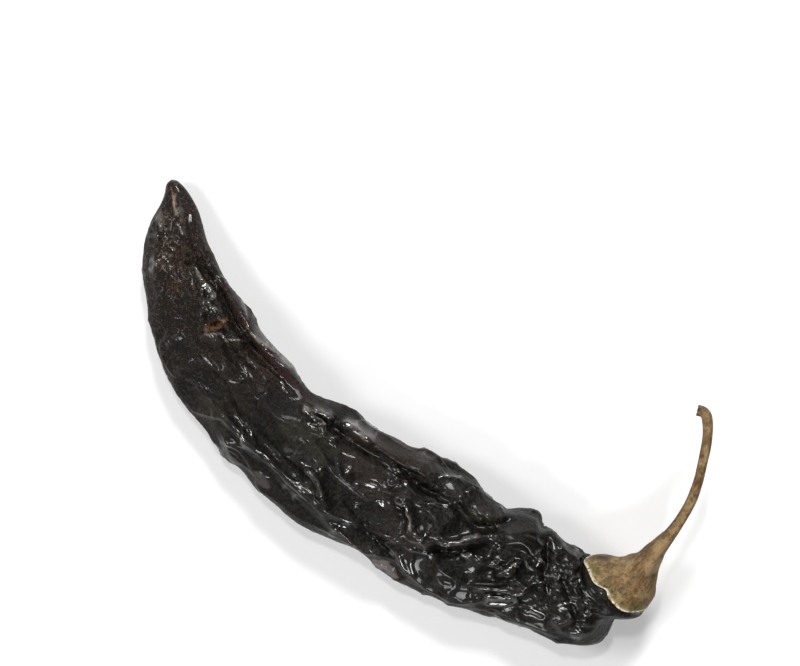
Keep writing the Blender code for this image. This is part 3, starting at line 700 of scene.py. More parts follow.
class Shader:
    """One material under construction."""

    def __init__(self, name: str) -> None:
        """Makes an empty material with a Principled shader.

        Args:
            name: the material's name.
        """
        self.material = bpy.data.materials.new(name)
        self.material.use_nodes = True
        self.tree = self.material.node_tree
        self.surface = self.tree.nodes["Principled BSDF"]
        self.place = self.node("ShaderNodeTexCoord", {}, {}, "Object")

    def node(self, kind: str, settings: dict[str, Any], values: dict[Any, Any],
             output: Any = 0) -> Link:
        """Adds a node.

        Args:
            kind: the node's type.
            settings: its settings, set first; "stops" sets a colour ramp's stops.
            values: values or links for its sockets, by name or number.
            output: the output socket wanted, by name or number.

        Returns:
            The output socket.
        """
        made = self.tree.nodes.new(kind)
        stops = settings.pop("stops", None)
        for name, value in settings.items():
            setattr(made, name, value)
        if stops:
            self.set_stops(made.color_ramp, stops)
        for key, value in values.items():
            self.put(made.inputs[key], value)
        return Link(self, made.outputs[output])

    def set_stops(self, ramp: Any, stops: list[tuple[float, Any]]) -> None:
        """Sets the stops of a colour ramp.

        Args:
            ramp: the ramp to set.
            stops: the place and colour of each stop.
        """
        while len(ramp.elements) < len(stops):
            ramp.elements.new(1.0)
        for element, (place, colour) in zip(ramp.elements, stops):
            element.position = place
            element.color = colour

    def put(self, socket: Any, value: Any) -> None:
        """Links or sets one input socket.

        Args:
            socket: the socket.
            value: a link to join to it, or a value to set.
        """
        if isinstance(value, Link):
            self.tree.links.new(value.socket, socket)
        else:
            socket.default_value = value

    def set(self, name: str, value: Any) -> None:
        """Links or sets a socket of the surface itself."""
        self.put(self.surface.inputs[name], value)

    def stored(self, name: str) -> Link:
        """Reads a number kept at each vertex."""
        return self.node("ShaderNodeAttribute", {"attribute_name": name}, {}, "Fac")

    def noise(self, scale: float, detail: float = 3.0, roughness: float = 0.55,
              distortion: float = 0.0) -> Link:
        """Adds a noise pattern.

        Args:
            scale: how many of its largest lumps fit in a metre.
            detail: how many finer layers it has.
            roughness: how strong the finer layers are.
            distortion: how far it is bent.

        Returns:
            The pattern's value.
        """
        values = {"Vector": self.place, "Scale": scale, "Detail": detail}
        values |= {"Roughness": roughness, "Distortion": distortion}
        return self.node("ShaderNodeTexNoise", {}, values, "Fac")

    def cells(self, scale: float, feature: str = "F1") -> Link:
        """Adds a pattern of cells of a scale for each metre."""
        values = {"Vector": self.place, "Scale": scale}
        return self.node("ShaderNodeTexVoronoi", {"feature": feature}, values, "Distance")

    def between(self, value: Any, low: float, high: float) -> Link:
        """Eases a value from 0 at low to 1 at high.

        Args:
            value: the value to ease.
            low: where the result starts to rise from 0.
            high: where it reaches 1.

        Returns:
            The eased value.
        """
        settings = {"interpolation_type": "SMOOTHSTEP"}
        values = {"Value": value, "From Min": low, "From Max": high}
        return self.node("ShaderNodeMapRange", settings, values, "Result")

    def mix(self, share: Any, first: Any, second: Any) -> Link:
        """Mixes two colours by a share."""
        settings = {"data_type": "RGBA"}
        return self.node("ShaderNodeMix", settings, {0: share, 6: first, 7: second}, 2)

    def squiggles(self, scale: float, half_width: float) -> Link:
        """Draws thin winding lines, where a noise pattern passes its middle value."""
        away = (self.noise(scale, 2.0, 0.5) - 0.5).size()
        return 1.0 - self.between(away, 0.0, half_width)

    def bump(self, height: Link, depth: Any, under: Link | None = None) -> Link:
        """Adds a bump.

        Args:
            height: the pattern that gives its height.
            depth: its depth in metres.
            under: another bump that it lies on, if any.

        Returns:
            The bumped normal.
        """
        values: dict[str, Any] = {"Height": height, "Distance": depth, "Strength": 1.0}
        if under is not None:
            values["Normal"] = under
        return self.node("ShaderNodeBump", {}, values)


@dataclass
class Pod:
    """The pod: one closed skin from the hooked tip to the neck under the calyx."""

    axis: StemAxis
    columns: int = 224
    rows: int = 420
    crowding: float = 0.5
    boxiness: float = 0.86
    crest_shift: float = 0.16
    tip_round_rings: float = 3.0
    neck_round_rings: float = 5.0
    samples: int = 24
    source_columns: int = 56
    source_rows: int = 88
    tight_spacing: float = 1.5
    line_end_share: float = 0.2
    line_end_rise: float = 0.25
    line_cutoff: float = 3.0
    side_fade: tuple[float, float] = (-0.1, 0.5)
    tip_fade: float = 8.0
    neck_fade: float = 9.0
    neck_smooth: float = 12.6
    crumple: Relief = field(default_factory=lambda: Relief(15.0, 8.0, 1.0, 0.8, 0.55))
    crumple_lift: float = 0.5
    crumple_depths: list[Point] = field(default_factory=lambda: [
        (0.0, 0.9), (35.0, 1.9), (90.0, 2.3), (130.0, 2.8), (155.0, 2.6), (175.0, 1.6)])
    puckers: Relief = field(default_factory=lambda: Relief(6.5, 3.6, 1.0, 0.75, 0.9, 7.3))
    pucker_depths: list[Point] = field(default_factory=lambda: [
        (0.0, 0.35), (30.0, 0.8), (60.0, 0.7), (110.0, 0.8), (140.0, 1.1), (170.0, 1.1)])
    creases: Relief = field(default_factory=lambda: Relief(2.8, 1.7, 1.0, 0.75, 0.9, 21.7))
    crease_depths: list[Point] = field(default_factory=lambda: [
        (0.0, 0.3), (30.0, 0.32), (60.0, 0.16), (110.0, 0.10), (140.0, 0.12), (170.0, 0.16)])
    seams: Seams = field(default_factory=lambda: Seams(14.0, 7.5, 0.5, 0.9, 3.1))
    seam_heights: list[Point] = field(default_factory=lambda: [
        (0.0, 0.25), (30.0, 0.5), (90.0, 0.4), (130.0, 0.55), (175.0, 0.5)])
    calm_share: float = 0.06
    side_share: float = 0.5
    fine_neck: float = 13.5
    fine_fade: float = 1.6
    rest_spots: list[Row] = field(default_factory=lambda: [
        (-63.0, -21.5, 4.0), (-2.0, -33.0, 6.0), (62.0, -15.0, 4.5)])
    rest_depth: float = 3.0
    rest_ease: float = 3.0
    stain_ragged_size: float = 1.6
    stain_edge: float = 0.9
    stain_reach: float = 1.5
    stain_end_width: float = 0.35
    seam_break_size: float = 7.0
    seam_break: tuple[float, float] = (0.4, 0.3)
    seam_gloss: float = 0.5
    fine_lift: float = 0.5
    beside_line: tuple[float, float] = (0.8, 2.0)
    crinkle_edge: float = 1.6
    ridge_averages: int = 5
    ridge_scale: float = 6.0
    crest_averages: int = 60
    crest_scale: float = 1.5
    facing: tuple[float, float] = (-0.1, 0.2)

    def neck_ring(self, distance: float, radius: float) -> Row:
        """Gives one of the rings inside the calyx.

        Args:
            distance: its distance past the calyx's mouth.
            radius: its radius.

        Returns:
            The ring, in the columns of POD_RINGS.
        """
        middle = self.axis.centre(np.array([distance]))[0]
        outer = middle + self.axis.across * radius
        inner = middle - self.axis.across * radius
        rise = radius * math.cos(self.axis.RISE)
        lean = math.degrees(self.axis.RISE)
        return (outer[0], outer[1], inner[0], inner[1], middle[2] - rise, middle[2] + rise, lean)

    def rings(self) -> np.ndarray:
        """Gives all the rings, from the tip to the end of the neck."""
        return np.array(POD_RINGS + [self.neck_ring(*place) for place in NECK])

    def ring(self, where: np.ndarray) -> tuple[np.ndarray, np.ndarray, np.ndarray]:
        """Finds the pod's section at fractional rings.

        Args:
            where: the fractional rings.

        Returns:
            Its centre, half-width vector and half-height vector at each.
        """
        outer_x, outer_y, inner_x, inner_y, low, high, lean = spline(self.rings(), where).T
        centre = np.array([outer_x + inner_x, outer_y + inner_y, low + high]).T / 2
        flat = np.zeros(len(where))
        half_width = np.array([outer_x - inner_x, outer_y - inner_y, flat]).T / 2
        ahead = unit(np.array([-half_width[:, 1], half_width[:, 0], flat]).T)
        tilt = np.radians(lean)[:, None]
        upward = np.array([0.0, 0.0, 1.0]) * np.cos(tilt) - ahead * np.sin(tilt)
        return centre, half_width, upward * ((high - low) / 2)[:, None] / np.cos(tilt)

    def schedule(self) -> tuple[np.ndarray, np.ndarray]:
        """Spaces the rows evenly along the pod.

        Returns:
            The fractional ring and the distance from the tip of each row.
        """
        places = np.arange((len(self.rings()) - 1) * self.samples + 1) / self.samples
        centre, half_width, half_height = self.ring(places)
        edges = [centre + half_width, centre - half_width, centre + half_height]
        steps = sum(np.linalg.norm(np.diff(edge, axis=0), axis=1) for edge in edges) / 3
        walked = np.concatenate([[0.0], np.cumsum(steps)])
        distance = np.linspace(0.0, walked[-1], self.rows + 1)
        return np.interp(distance, walked, places), distance

    def section(self, angle: np.ndarray, boxiness: np.ndarray) -> tuple[np.ndarray, np.ndarray]:
        """Rounds the section.

        Args:
            angle: angles round the section from its outer edge.
            boxiness: how far each is from an ellipse, which has 1.

        Returns:
            The shares of the half-width and of the half-height.
        """
        across = np.sign(np.cos(angle)) * np.abs(np.cos(angle)) ** boxiness
        up = np.sign(np.sin(angle)) * np.abs(np.sin(angle)) ** boxiness
        lean = self.crest_shift * np.maximum(up, 0.0) ** 2
        return across - lean * (1.0 - boxiness) / (1.0 - self.boxiness), up

    def tightness(self, piece: bpy.types.Object, row: np.ndarray, angle: np.ndarray) -> np.ndarray:
        """Finds where the skin is too tight for deep relief.

        Args:
            piece: the pod before its relief.
            row: the row of each vertex.
            angle: the angle of each vertex round the section.

        Returns:
            The share of the relief that each vertex can take.
        """
        points = mesh_points(piece)
        pairs = np.zeros(len(piece.data.edges) * 2, int)
        piece.data.edges.foreach_get("vertices", pairs)
        first, second = pairs.reshape(-1, 2).T
        length = np.linalg.norm(points[first] - points[second], axis=1)
        turn = np.abs((angle[first] - angle[second] + math.pi) % (2 * math.pi) - math.pi)
        round_length = length / np.maximum(turn, 1e-6) * 2 * math.pi / self.source_columns
        along_length = length * self.rows / self.source_rows
        spacing = np.where(row[first] == row[second], round_length, along_length)
        tightest = np.full(len(points), 1e9)
        np.minimum.at(tightest, first, spacing)
        np.minimum.at(tightest, second, spacing)
        return smoothstep(tightest / self.tight_spacing)

    def fold_height(self, flat: np.ndarray) -> np.ndarray:
        """Adds up the folds and swellings.

        Args:
            flat: x and y of each place.

        Returns:
            The height at each place.
        """
        height = np.zeros(len(flat))
        for rise, half_width, points in FOLDS:
            height += self.line_height(flat, rise, half_width, points, self.line_end_rise)
        for *oval, rise in SWELLINGS:
            along, side = oval_places(flat, oval)
            height += rise * np.exp(-(along**2) - side**2)
        return height

    def line_height(self, flat: np.ndarray, rise: float, half_width: float,
                    points: list[Point], end_rise: float) -> np.ndarray:
        """Gives one rounded fold, which eases out at its ends.

        Args:
            flat: x and y of each place.
            rise: the fold's height.
            half_width: its half width.
            points: the line it follows.
            end_rise: the share of its height that it starts with.

        Returns:
            The height at each place.
        """
        gap, along = distance_to_line(flat, points)
        ends = smoothstep(np.minimum(along, 1.0 - along) / self.line_end_share + end_rise)
        height = rise * ends * np.exp(-((gap / half_width) ** 2))
        return np.where(gap < self.line_cutoff * half_width, height, 0.0)

    def sharp_height(self, flat: np.ndarray) -> np.ndarray:
        """Adds up the sharp fine wrinkles.

        Args:
            flat: x and y of each place.

        Returns:
            The height at each place.
        """
        height = np.zeros(len(flat))
        for rise, half_width, points in WRINKLES:
            gap, along = distance_to_line(flat, points)
            ends = smoothstep(np.minimum(along, 1.0 - along) / self.line_end_share)
            height += rise * ends * np.exp(-gap / half_width)
        return height

    def rest_flat(self, points: np.ndarray) -> np.ndarray:
        """Cuts what lies below the surface, and presses the rest spots flat on it.

        Args:
            points: the pod's points.

        Returns:
            The points after that.
        """
        height = np.maximum(points[:, 2], 0.0)
        for x, y, radius in self.rest_spots:
            off = np.hypot(points[:, 0] - x, points[:, 1] - y)
            pressed = height * smoothstep((off - radius) / self.rest_ease)
            height = np.where(height < self.rest_depth, pressed, height)
        return np.column_stack([points[:, :2], height])

    def build(self) -> bpy.types.Object:
        """Models the pod.

        Returns:
            The finished piece, with the numbers that its material reads.
        """
        piece = add_ball("pepper_pod", self.columns, self.rows)
        row, angle = ball_places(piece, self.rows)
        angle = angle + self.crowding * np.cos(angle)
        places, distances = self.schedule()
        where, distance = places[row], distances[row]
        centre, half_width, half_height = self.ring(where)
        to_neck = (len(POD_RINGS) - where) / self.neck_round_rings
        body = smoothstep(np.minimum(to_neck, where / self.tip_round_rings))
        across, up = self.section(angle, 1.0 + (self.boxiness - 1.0) * body)
        base = centre + half_width * across[:, None] + half_height * up[:, None]
        move_points(piece, base)
        spots = np.column_stack([
            distance,
            across * np.linalg.norm(half_width, axis=1),
            up * np.linalg.norm(half_height, axis=1),
        ])
        share = smoothstep((distances[-1] - distance - self.neck_smooth) / self.neck_fade)
        tip_ease = smoothstep(distance / self.tip_fade)
        tight = self.tightness(piece, row, angle)
        share = share * tip_ease * tight
        normals = mesh_normals(piece)
        top = smoothstep((normals[:, 2] - self.side_fade[0]) / self.side_fade[1])
        top = np.where(spots[:, 2] > 0.0, top, 0.0)
        depth = np.interp(distance, *np.array(self.crumple_depths).T)
        crumpled = (self.crumple.heights(spots) + self.crumple_lift) * depth * share
        folded = self.fold_height(base[:, :2]) * top * share
        points = base + normals * crumpled[:, None]
        points[:, 2] += folded
        move_points(piece, points)
        close = smoothstep((distances[-1] - distance - self.fine_neck) / self.fine_fade)
        relief, crests = self.fine_relief(piece, spots, distance, top)
        fine = relief * tight * tip_ease * close
        points = points + mesh_normals(piece) * fine[:, None]
        points = self.rest_flat(points)
        move_points(piece, points)
        self.keep_values(piece, distance, crests)
        move_points(piece, points * MM)
        bpy.ops.object.shade_smooth()
        return piece

    def fine_relief(self, piece: bpy.types.Object, spots: np.ndarray, distance: np.ndarray,
                    top: np.ndarray) -> tuple[np.ndarray, np.ndarray]:
        """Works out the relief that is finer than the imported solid's.

        Args:
            piece: the pod with its folds and crumpling.
            spots: distance along the pod, place across it and height of each vertex.
            distance: distance of each vertex from the tip.
            top: how far each vertex faces up.

        Returns:
            The height to add along each vertex's normal, and how far it lies on a sharp crest.
        """
        flat = mesh_points(piece)[:, :2]
        lines = self.sharp_height(flat) * top
        calm = self.side_share + (self.calm_share - self.side_share) * top
        busy = calm + (1.0 - calm) * self.crinkled(flat)
        puckered = (self.puckers.heights(spots) + self.fine_lift) * np.interp(
            distance, *np.array(self.pucker_depths).T)
        creased = (self.creases.heights(spots) + self.fine_lift) * np.interp(
            distance, *np.array(self.crease_depths).T)
        broken = np.array([0.5 + noise.noise(Vector(spot) / self.seam_break_size) for spot in spots])
        least, ease = self.seam_break
        seams = self.seams.heights(spots) * smoothstep((broken - least) / ease)
        crests = np.clip(seams * self.seam_gloss + lines, 0.0, 1.0)
        crested = seams * np.interp(distance, *np.array(self.seam_heights).T)
        calmed, reach = self.beside_line
        beside = 1.0 - calmed * np.clip(np.abs(lines) * reach, 0.0, 1.0)
        return (puckered + creased) * busy * beside + crested + lines, crests

    def crinkled(self, flat: np.ndarray) -> np.ndarray:
        """Finds how finely crinkled the skin is.

        Args:
            flat: x and y of each place.

        Returns:
            A share from 0 to 1 at each place.
        """
        most = np.zeros(len(flat))
        for *oval, share in CRINKLES:
            along, side = oval_places(flat, oval)
            most = np.maximum(most, share * smoothstep(self.crinkle_edge - np.hypot(along, side)))
        return most

    def stain(self, tone: Tone, points: np.ndarray) -> np.ndarray:
        """Finds the share of one stain colour, with ragged edges.

        Args:
            tone: the colour.
            points: the vertices.

        Returns:
            The share at each vertex.
        """
        ragged = np.array([noise.noise(Vector(point) / self.stain_ragged_size) for point in points])
        most = np.zeros(len(points))
        for kind, share, half_width, line in STAINS:
            if kind is tone:
                gap, along = distance_to_line(points[:, :2], line)
                narrow = self.stain_end_width
                width = half_width * (narrow + (1.0 - narrow) * np.sin(math.pi * along))
                inside = smoothstep((self.stain_reach + ragged - gap / width) / self.stain_edge)
                most = np.maximum(most, share * inside)
        return most

    def keep_values(self, piece: bpy.types.Object, distance: np.ndarray,
                    crests: np.ndarray) -> None:
        """Keeps the numbers that the skin's material reads at each vertex.

        Args:
            piece: the finished pod, in millimetres.
            distance: distance of each vertex from the tip.
            crests: how far each vertex lies on a sharp crest.
        """
        normals = mesh_normals(piece)
        points = mesh_points(piece)
        near, wide = (
            np.array([average_over(piece, points[:, i], times) for i in range(3)]).T
            for times in (self.ridge_averages, self.crest_averages)
        )
        add_value(piece, "along", distance)
        ridge = ((points - near) * normals).sum(axis=1) * self.ridge_scale
        crest = ((points - wide) * normals).sum(axis=1) * self.crest_scale
        add_value(piece, "ridge", np.clip(ridge, -1, 1))
        add_value(piece, "crest", np.clip(crest, -1, 1))
        add_value(piece, "sharp", crests)
        least, ease = self.facing
        facing = smoothstep((normals[:, 2] - least) / ease)
        for tone in Tone:
            add_value(piece, tone.value, self.stain(tone, points) * facing)

    def dress(self, piece: bpy.types.Object) -> None:
        """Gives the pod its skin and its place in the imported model."""
        dress_piece(piece, Node.POD, SkinFinish().material())


@dataclass
class StemWithCalyx:
    """The calyx and the stem, which grow as one piece."""

    axis: StemAxis
    columns: int = 144
    bell: list[Point] = field(default_factory=lambda: [
        (-1.5, 11.4), (0.0, 10.5), (1.7, 9.8), (3.4, 8.7), (5.0, 7.6), (6.3, 6.7), (7.8, 5.6),
        (9.2, 4.8), (11.2, 3.8), (13.5, 3.1)])
    bell_rows: int = 60
    stem_radii: list[Point] = field(default_factory=lambda: [
        (13.5, 3.1), (17.0, 2.35), (22.0, 1.65), (27.0, 1.35), (40.0, 1.22), (50.0, 1.25),
        (60.0, 1.45)])
    stem_rows: int = 130
    neck_gap: float = 0.5
    slope_reach: float = 0.3
    hollow_rows: tuple[float, ...] = (4.9, 4.4, 3.8, 3.1, 2.4, 1.8, 1.3, 0.9, 0.7)
    rim_start: float = 0.6
    rim_rest: float = -0.7
    rim_lobes: list[Point] = field(default_factory=lambda: [
        (182.0, 1.8), (130.0, 0.4), (60.0, 1.1), (-8.0, 1.3), (-75.0, 1.7), (-130.0, 1.0)])
    rim_lobe_width: float = 24.0
    rim_crack: Row = (108.0, 1.0, 10.0)
    rim_fade: float = 4.2
    rim_step: float = 0.15
    rim_pale: float = 0.95
    # Dark marks by the rim: angle, distance past the mouth, half turn, half length and share; the first is
    # painted shade on the inner side, the rest are dark specks
    specks_and_painted_shade: list[Row] = field(default_factory=lambda: [
        (193.0, 3.4, 12.0, 1.7, 1.0), (115.0, 2.0, 4.5, 0.6, 1.0), (102.0, 2.4, 4.0, 0.55, 1.0),
        (92.0, 4.3, 3.0, 0.4, 0.8), (74.0, 2.4, 3.0, 0.4, 0.8), (58.0, 3.4, 3.0, 0.35, 0.7)])
    cut_start: float = 2.4
    bell_crowding: float = 1.15
    cut_end: list[Point] = field(default_factory=lambda: [(0.15, 0.82), (-0.1, 0.45), (-0.2, 0.0)])
    ribs: int = 5
    rib_depth: float = 0.09
    rib_start: float = 2.0
    rib_growth: float = 8.0
    rib_twist: float = 0.04
    knot_depth: float = 0.07
    knot_length: float = 5.0
    knot_detail: float = 1.3
    knot_start: float = 1.0
    knot_growth: float = 4.0
    fibres: int = 17
    fibre_depth: float = 0.05
    fibre_twist: float = 0.12
    fibre_start: float = 1.0
    fibre_growth: float = 4.0
    inner_side: Point = (0.35, 0.5)

    def outline(self) -> list[tuple[float, float | None, bool]]:
        """Gives the rows of the piece from the hollow in the calyx to the cut end.

        Returns:
            A distance past the mouth, a radius if it is fixed, and whether the row lies on the
            hollow's wall, for each row.
        """
        rows: list[tuple[float, float | None, bool]] = [(NECK[-1][0] + self.neck_gap, 0.0, True)]
        rows += [(distance, None, True) for distance in self.hollow_rows]
        rows += [(self.rim_start, None, False)]
        start, end = self.bell[-1][0], self.axis.length
        for step in range(self.bell_rows + 1):
            along = (start - self.rim_start) * (step / self.bell_rows) ** self.bell_crowding
            rows.append((self.rim_start + self.rim_step + along, None, False))
        for step in range(1, self.stem_rows + 1):
            rows.append((start + (end - start) * step / self.stem_rows, None, False))
        last = self.stem_radii[-1][1]
        return rows + [(end + past, last * share, False) for past, share in self.cut_end]

    def rim_shift(self, angle: np.ndarray) -> np.ndarray:
        """Gives how far the rim reaches towards the pod, with its lobes and crack.

        Args:
            angle: angles round the rim.

        Returns:
            The reach at each angle.
        """
        reach = np.zeros(len(angle))
        for middle, size in self.rim_lobes:
            off = degrees_from(middle, angle)
            reach += size * np.exp(-((off / self.rim_lobe_width) ** 2))
        middle, depth, half_width = self.rim_crack
        off = degrees_from(middle, angle)
        return self.rim_rest + reach - depth * np.exp(-((off / half_width) ** 2))

    def hollow_radius(self, distance: np.ndarray) -> np.ndarray:
        """Gives the radius of the hollow, clear of the pod's neck all round.

        Args:
            distance: distances past the mouth.

        Returns:
            The radius at each distance.
        """
        places, radii = np.array(NECK).T
        ahead = np.interp(distance + self.slope_reach, places, radii)
        behind = np.interp(distance - self.slope_reach, places, radii)
        slope = (ahead - behind) / (2.0 * self.slope_reach)
        return np.interp(distance, places, radii) + self.neck_gap * np.sqrt(1.0 + slope**2)

    def uneven(self, distance: np.ndarray, angle: np.ndarray) -> np.ndarray:
        """Gives the share of the radius, with its ribs and knots.

        Args:
            distance: distance of each place past the mouth.
            angle: angle of each place round the piece.

        Returns:
            The share at each place.
        """
        ribs = smoothstep((distance - self.rib_start) / self.rib_growth) * self.rib_depth
        ribbed = 1.0 + ribs * np.cos(self.ribs * angle + self.rib_twist * distance)
        places = np.array([np.cos(angle), np.sin(angle), distance / self.knot_length]).T
        knotted = np.array([noise.noise(Vector(place) * self.knot_detail) for place in places])
        knots = smoothstep((distance - self.knot_start) / self.knot_growth) * self.knot_depth
        return ribbed * (1.0 + knots * knotted)

    def speck_and_shade_share(self, distance: np.ndarray, angle: np.ndarray) -> np.ndarray:
        """Gives the share of the dark specks by the calyx's rim, and of the painted shade on its inner
        side.

        Args:
            distance: distance of each place past the mouth.
            angle: angle of each place round the piece.

        Returns:
            The share at each place.
        """
        most = np.zeros(len(distance))
        for middle, along, half_turn, half_length, share in self.specks_and_painted_shade:
            off = degrees_from(middle, angle)
            gap = (off / half_turn) ** 2 + ((distance - along) / half_length) ** 2
            most = np.maximum(most, share * np.exp(-gap))
        return most

    def build(self) -> bpy.types.Object:
        """Models the calyx and the stem.

        Returns:
            The finished piece, with the numbers that its material reads.
        """
        rows = self.outline()
        piece = add_ball("pepper_stem_with_calyx", self.columns, len(rows) - 1)
        row, angle = ball_places(piece, len(rows) - 1)
        table = np.array([(place, np.nan if radius is None else radius, hollow)
                          for place, radius, hollow in rows])
        distance, radius, hollow = table[row].T
        near_rim = 1.0 - smoothstep((distance - self.rim_start) / self.rim_fade)
        shifted = distance - self.rim_shift(angle) * near_rim
        inside = self.hollow_radius(shifted)
        bell = np.interp(shifted, *np.array(self.bell).T)
        stem = np.interp(distance, *np.array(self.stem_radii).T)
        outside = np.where(distance < self.bell[-1][0], bell, stem)
        outside = np.where(distance == self.rim_start, (inside + bell) / 2, outside)
        free = np.where(hollow > 0, inside, outside)
        radius = np.where(np.isnan(radius), free, radius)
        radius = np.where(hollow > 0, radius, radius * self.uneven(distance, angle))
        fibres = self.fibre_depth * np.cos(self.fibres * angle + self.fibre_twist * distance)
        fibres = fibres * smoothstep((distance - self.fibre_start) / self.fibre_growth)
        outer = (hollow == 0) & (distance > self.rim_start)
        radius = np.where(outer, radius + fibres, radius)
        centre, across, up = self.axis.frame(shifted)
        spoke = across * np.cos(angle)[:, None] + up * np.sin(angle)[:, None]
        move_points(piece, (centre + spoke * np.maximum(radius, 0.0)[:, None]) * MM)
        add_value(piece, "along", distance)
        past_rim = (distance - self.rim_start - self.rim_step) / self.rim_pale
        add_value(piece, "rim", np.where(hollow > 0, 1.0, 1.0 - smoothstep(past_rim)))
        add_value(piece, "speck_and_shade", self.speck_and_shade_share(distance, angle))
        least, ease = self.inner_side
        add_value(piece, "inner", smoothstep((-np.cos(angle) - least) / ease))
        add_value(piece, "cut", smoothstep((distance - self.axis.length) / self.cut_start + 1.0))
        bpy.ops.object.shade_smooth()
        return piece

    def dress(self, piece: bpy.types.Object) -> None:
        """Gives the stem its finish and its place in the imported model."""
        dress_piece(piece, Node.STEM, StemFinish().material())


@dataclass(frozen=True)
class SkinFinish:
    """Dried pepper skin: near black, brown and matte at the tip, glossy at the shoulder."""

    black: Row = (0.0026, 0.0027, 0.0022, 1.0)
    brown: Row = (0.0095, 0.0068, 0.0050, 1.0)
    rust: Row = (0.085, 0.040, 0.019, 1.0)
    red: Row = (0.020, 0.0095, 0.008, 1.0)
    warm: Row = (0.018, 0.0130, 0.0105, 1.0)
    olive: Row = (0.034, 0.031, 0.019, 1.0)
    # Pale grey: dust at the tip, painted floor reflection along the outer edge, and the painted ridge
    # highlight
    dust_and_painted_sheen: Row = (0.12, 0.10, 0.095, 1.0)
    # Painted highlight: the light brown drawn along the fine winding wrinkle lines
    line: Row = (0.12, 0.088, 0.066, 1.0)
    orange: Row = (0.23, 0.12, 0.058, 1.0)
    # Painted highlight: the pale grey laid along the sharp crests
    painted_crest_highlight: Row = (0.30, 0.28, 0.25, 1.0)
    roughness: float = 0.58
    coat_roughness: float = 0.09
    specular: float = 0.12
    lump_depth: float = 0.00028
    line_depth: float = 0.00006
    tip_line_depth: float = 0.0003
    pebble_depth: float = 0.00005
    grain_depth: float = 0.00006
    blotch_scale: float = 95.0
    lump_scale: float = 420.0
    mottle_scale: float = 480.0
    gloss_scale: float = 600.0
    line_scale: float = 620.0
    crease_scale: float = 1300.0
    grain_scale: float = 1700.0
    brown_tip: Point = (15.0, 75.0)
    lined_tip: Point = (30.0, 80.0)
    spots_start: Point = (6.0, 20.0)
    spots_end: Point = (35.0, 70.0)
    shine_start: Point = (55.0, 130.0)
    sharp_start: Point = (40.0, 95.0)

    def colour(self, shader: Shader) -> Link:
        """Mixes the skin's colours.

        Args:
            shader: the material under construction.

        Returns:
            The colour.
        """
        along, ridge, crest = (shader.stored(name) for name in ("along", "ridge", "crest"))
        tip = 1.0 - shader.between(along, *self.brown_tip)
        blotch = shader.noise(self.blotch_scale, 3.0)
        mottle = shader.noise(self.mottle_scale, 4.0, 0.65)
        shade = shader.mix(shader.between(blotch + tip * 0.35, 0.45, 0.85), self.black, self.brown)
        broken = shader.between(mottle, 0.36, 0.58)
        creases = shader.noise(self.crease_scale, 4.0, 0.65)
        creased = shader.between(creases, 0.40, 0.62)
        # Painted highlight: light lines on the same winding pattern as the wrinkle bump, strongest at the
        # tip
        lines = shader.squiggles(self.line_scale, 0.05) * (tip * 0.34 + 0.10)
        spots = shader.between(mottle, 0.60, 0.72) * shader.between(along, *self.spots_start)
        spots = spots * (1.0 - shader.between(along, *self.spots_end)) * 0.3
        shade = shader.mix(spots, shade, self.rust)
        shade = shader.mix(shader.stored(Tone.BROWN.value), shade, self.warm)
        shade = shader.mix(shader.stored(Tone.RUST.value) * broken * creased, shade, self.rust)
        shade = shader.mix(shader.stored(Tone.RED.value), shade, self.red)
        shade = shader.mix(shader.stored(Tone.OLIVE.value) * (broken * 0.6 + 0.4), shade, self.olive)
        # Pale stains: dust at the tip, and painted reflection of the floor along the outer edge
        shade = shader.mix(shader.stored(Tone.DUST_AND_PAINTED_REFLECTION.value), shade, self.dust_and_painted_sheen)
        shade = shader.mix(lines, shade, self.line)
        orange = shader.stored(Tone.ORANGE.value) * (0.35 + creased * 0.65)
        shade = shader.mix(orange, shade, self.orange)
        # Painted highlight: the colour turns slightly paler on ridges and crests
        painted_ridge_highlight = shader.between(ridge, 0.25, 0.9) * 0.04 + shader.between(crest, 0.3, 1.0) * 0.02
        shade = shader.mix(painted_ridge_highlight, shade, self.dust_and_painted_sheen)
        # Painted highlight: the colour turns pale grey along the sharp crests, where light would catch them
        painted_crest_highlight = shader.between(shader.stored("sharp"), 0.45, 0.9)
        return shader.mix(painted_crest_highlight * shader.between(mottle, 0.42, 0.58) * 0.4, shade, self.painted_crest_highlight)

    def material(self) -> bpy.types.Material:
        """Makes the material.

        Returns:
            The skin's material.
        """
        shader = Shader("dried_skin")
        along, sharp = shader.stored("along"), shader.stored("sharp")
        shine = shader.between(along, *self.shine_start)
        tip = 1.0 - shader.between(along, *self.lined_tip)
        sharp = sharp * (shader.between(along, *self.sharp_start) * 0.2 + 0.8)
        shader.set("Base Color", self.colour(shader))
        uneven_gloss = (shader.noise(self.gloss_scale, 4.0) - 0.5) * 0.25
        rough = self.roughness - shine * 0.16 - sharp * 0.2 + uneven_gloss
        shader.set("Roughness", rough.held())
        shader.set("Coat Weight", (sharp * 1.5 + shine * 0.12 + 0.02).held())
        shader.set("Coat Roughness", self.coat_roughness)
        shader.set("Specular IOR Level", self.specular)
        uneven = shader.bump(shader.noise(self.lump_scale, 3.0, 0.5), self.lump_depth)
        depth = tip * self.tip_line_depth + self.line_depth
        lined = shader.bump(shader.squiggles(self.line_scale, 0.08), depth, uneven)
        pebbles = shader.bump(shader.cells(self.crease_scale), self.pebble_depth, lined)
        grain = shader.noise(self.grain_scale, 4.0, 0.65)
        grain = shader.bump(grain, self.grain_depth, pebbles)
        shader.set("Normal", grain)
        return shader.material


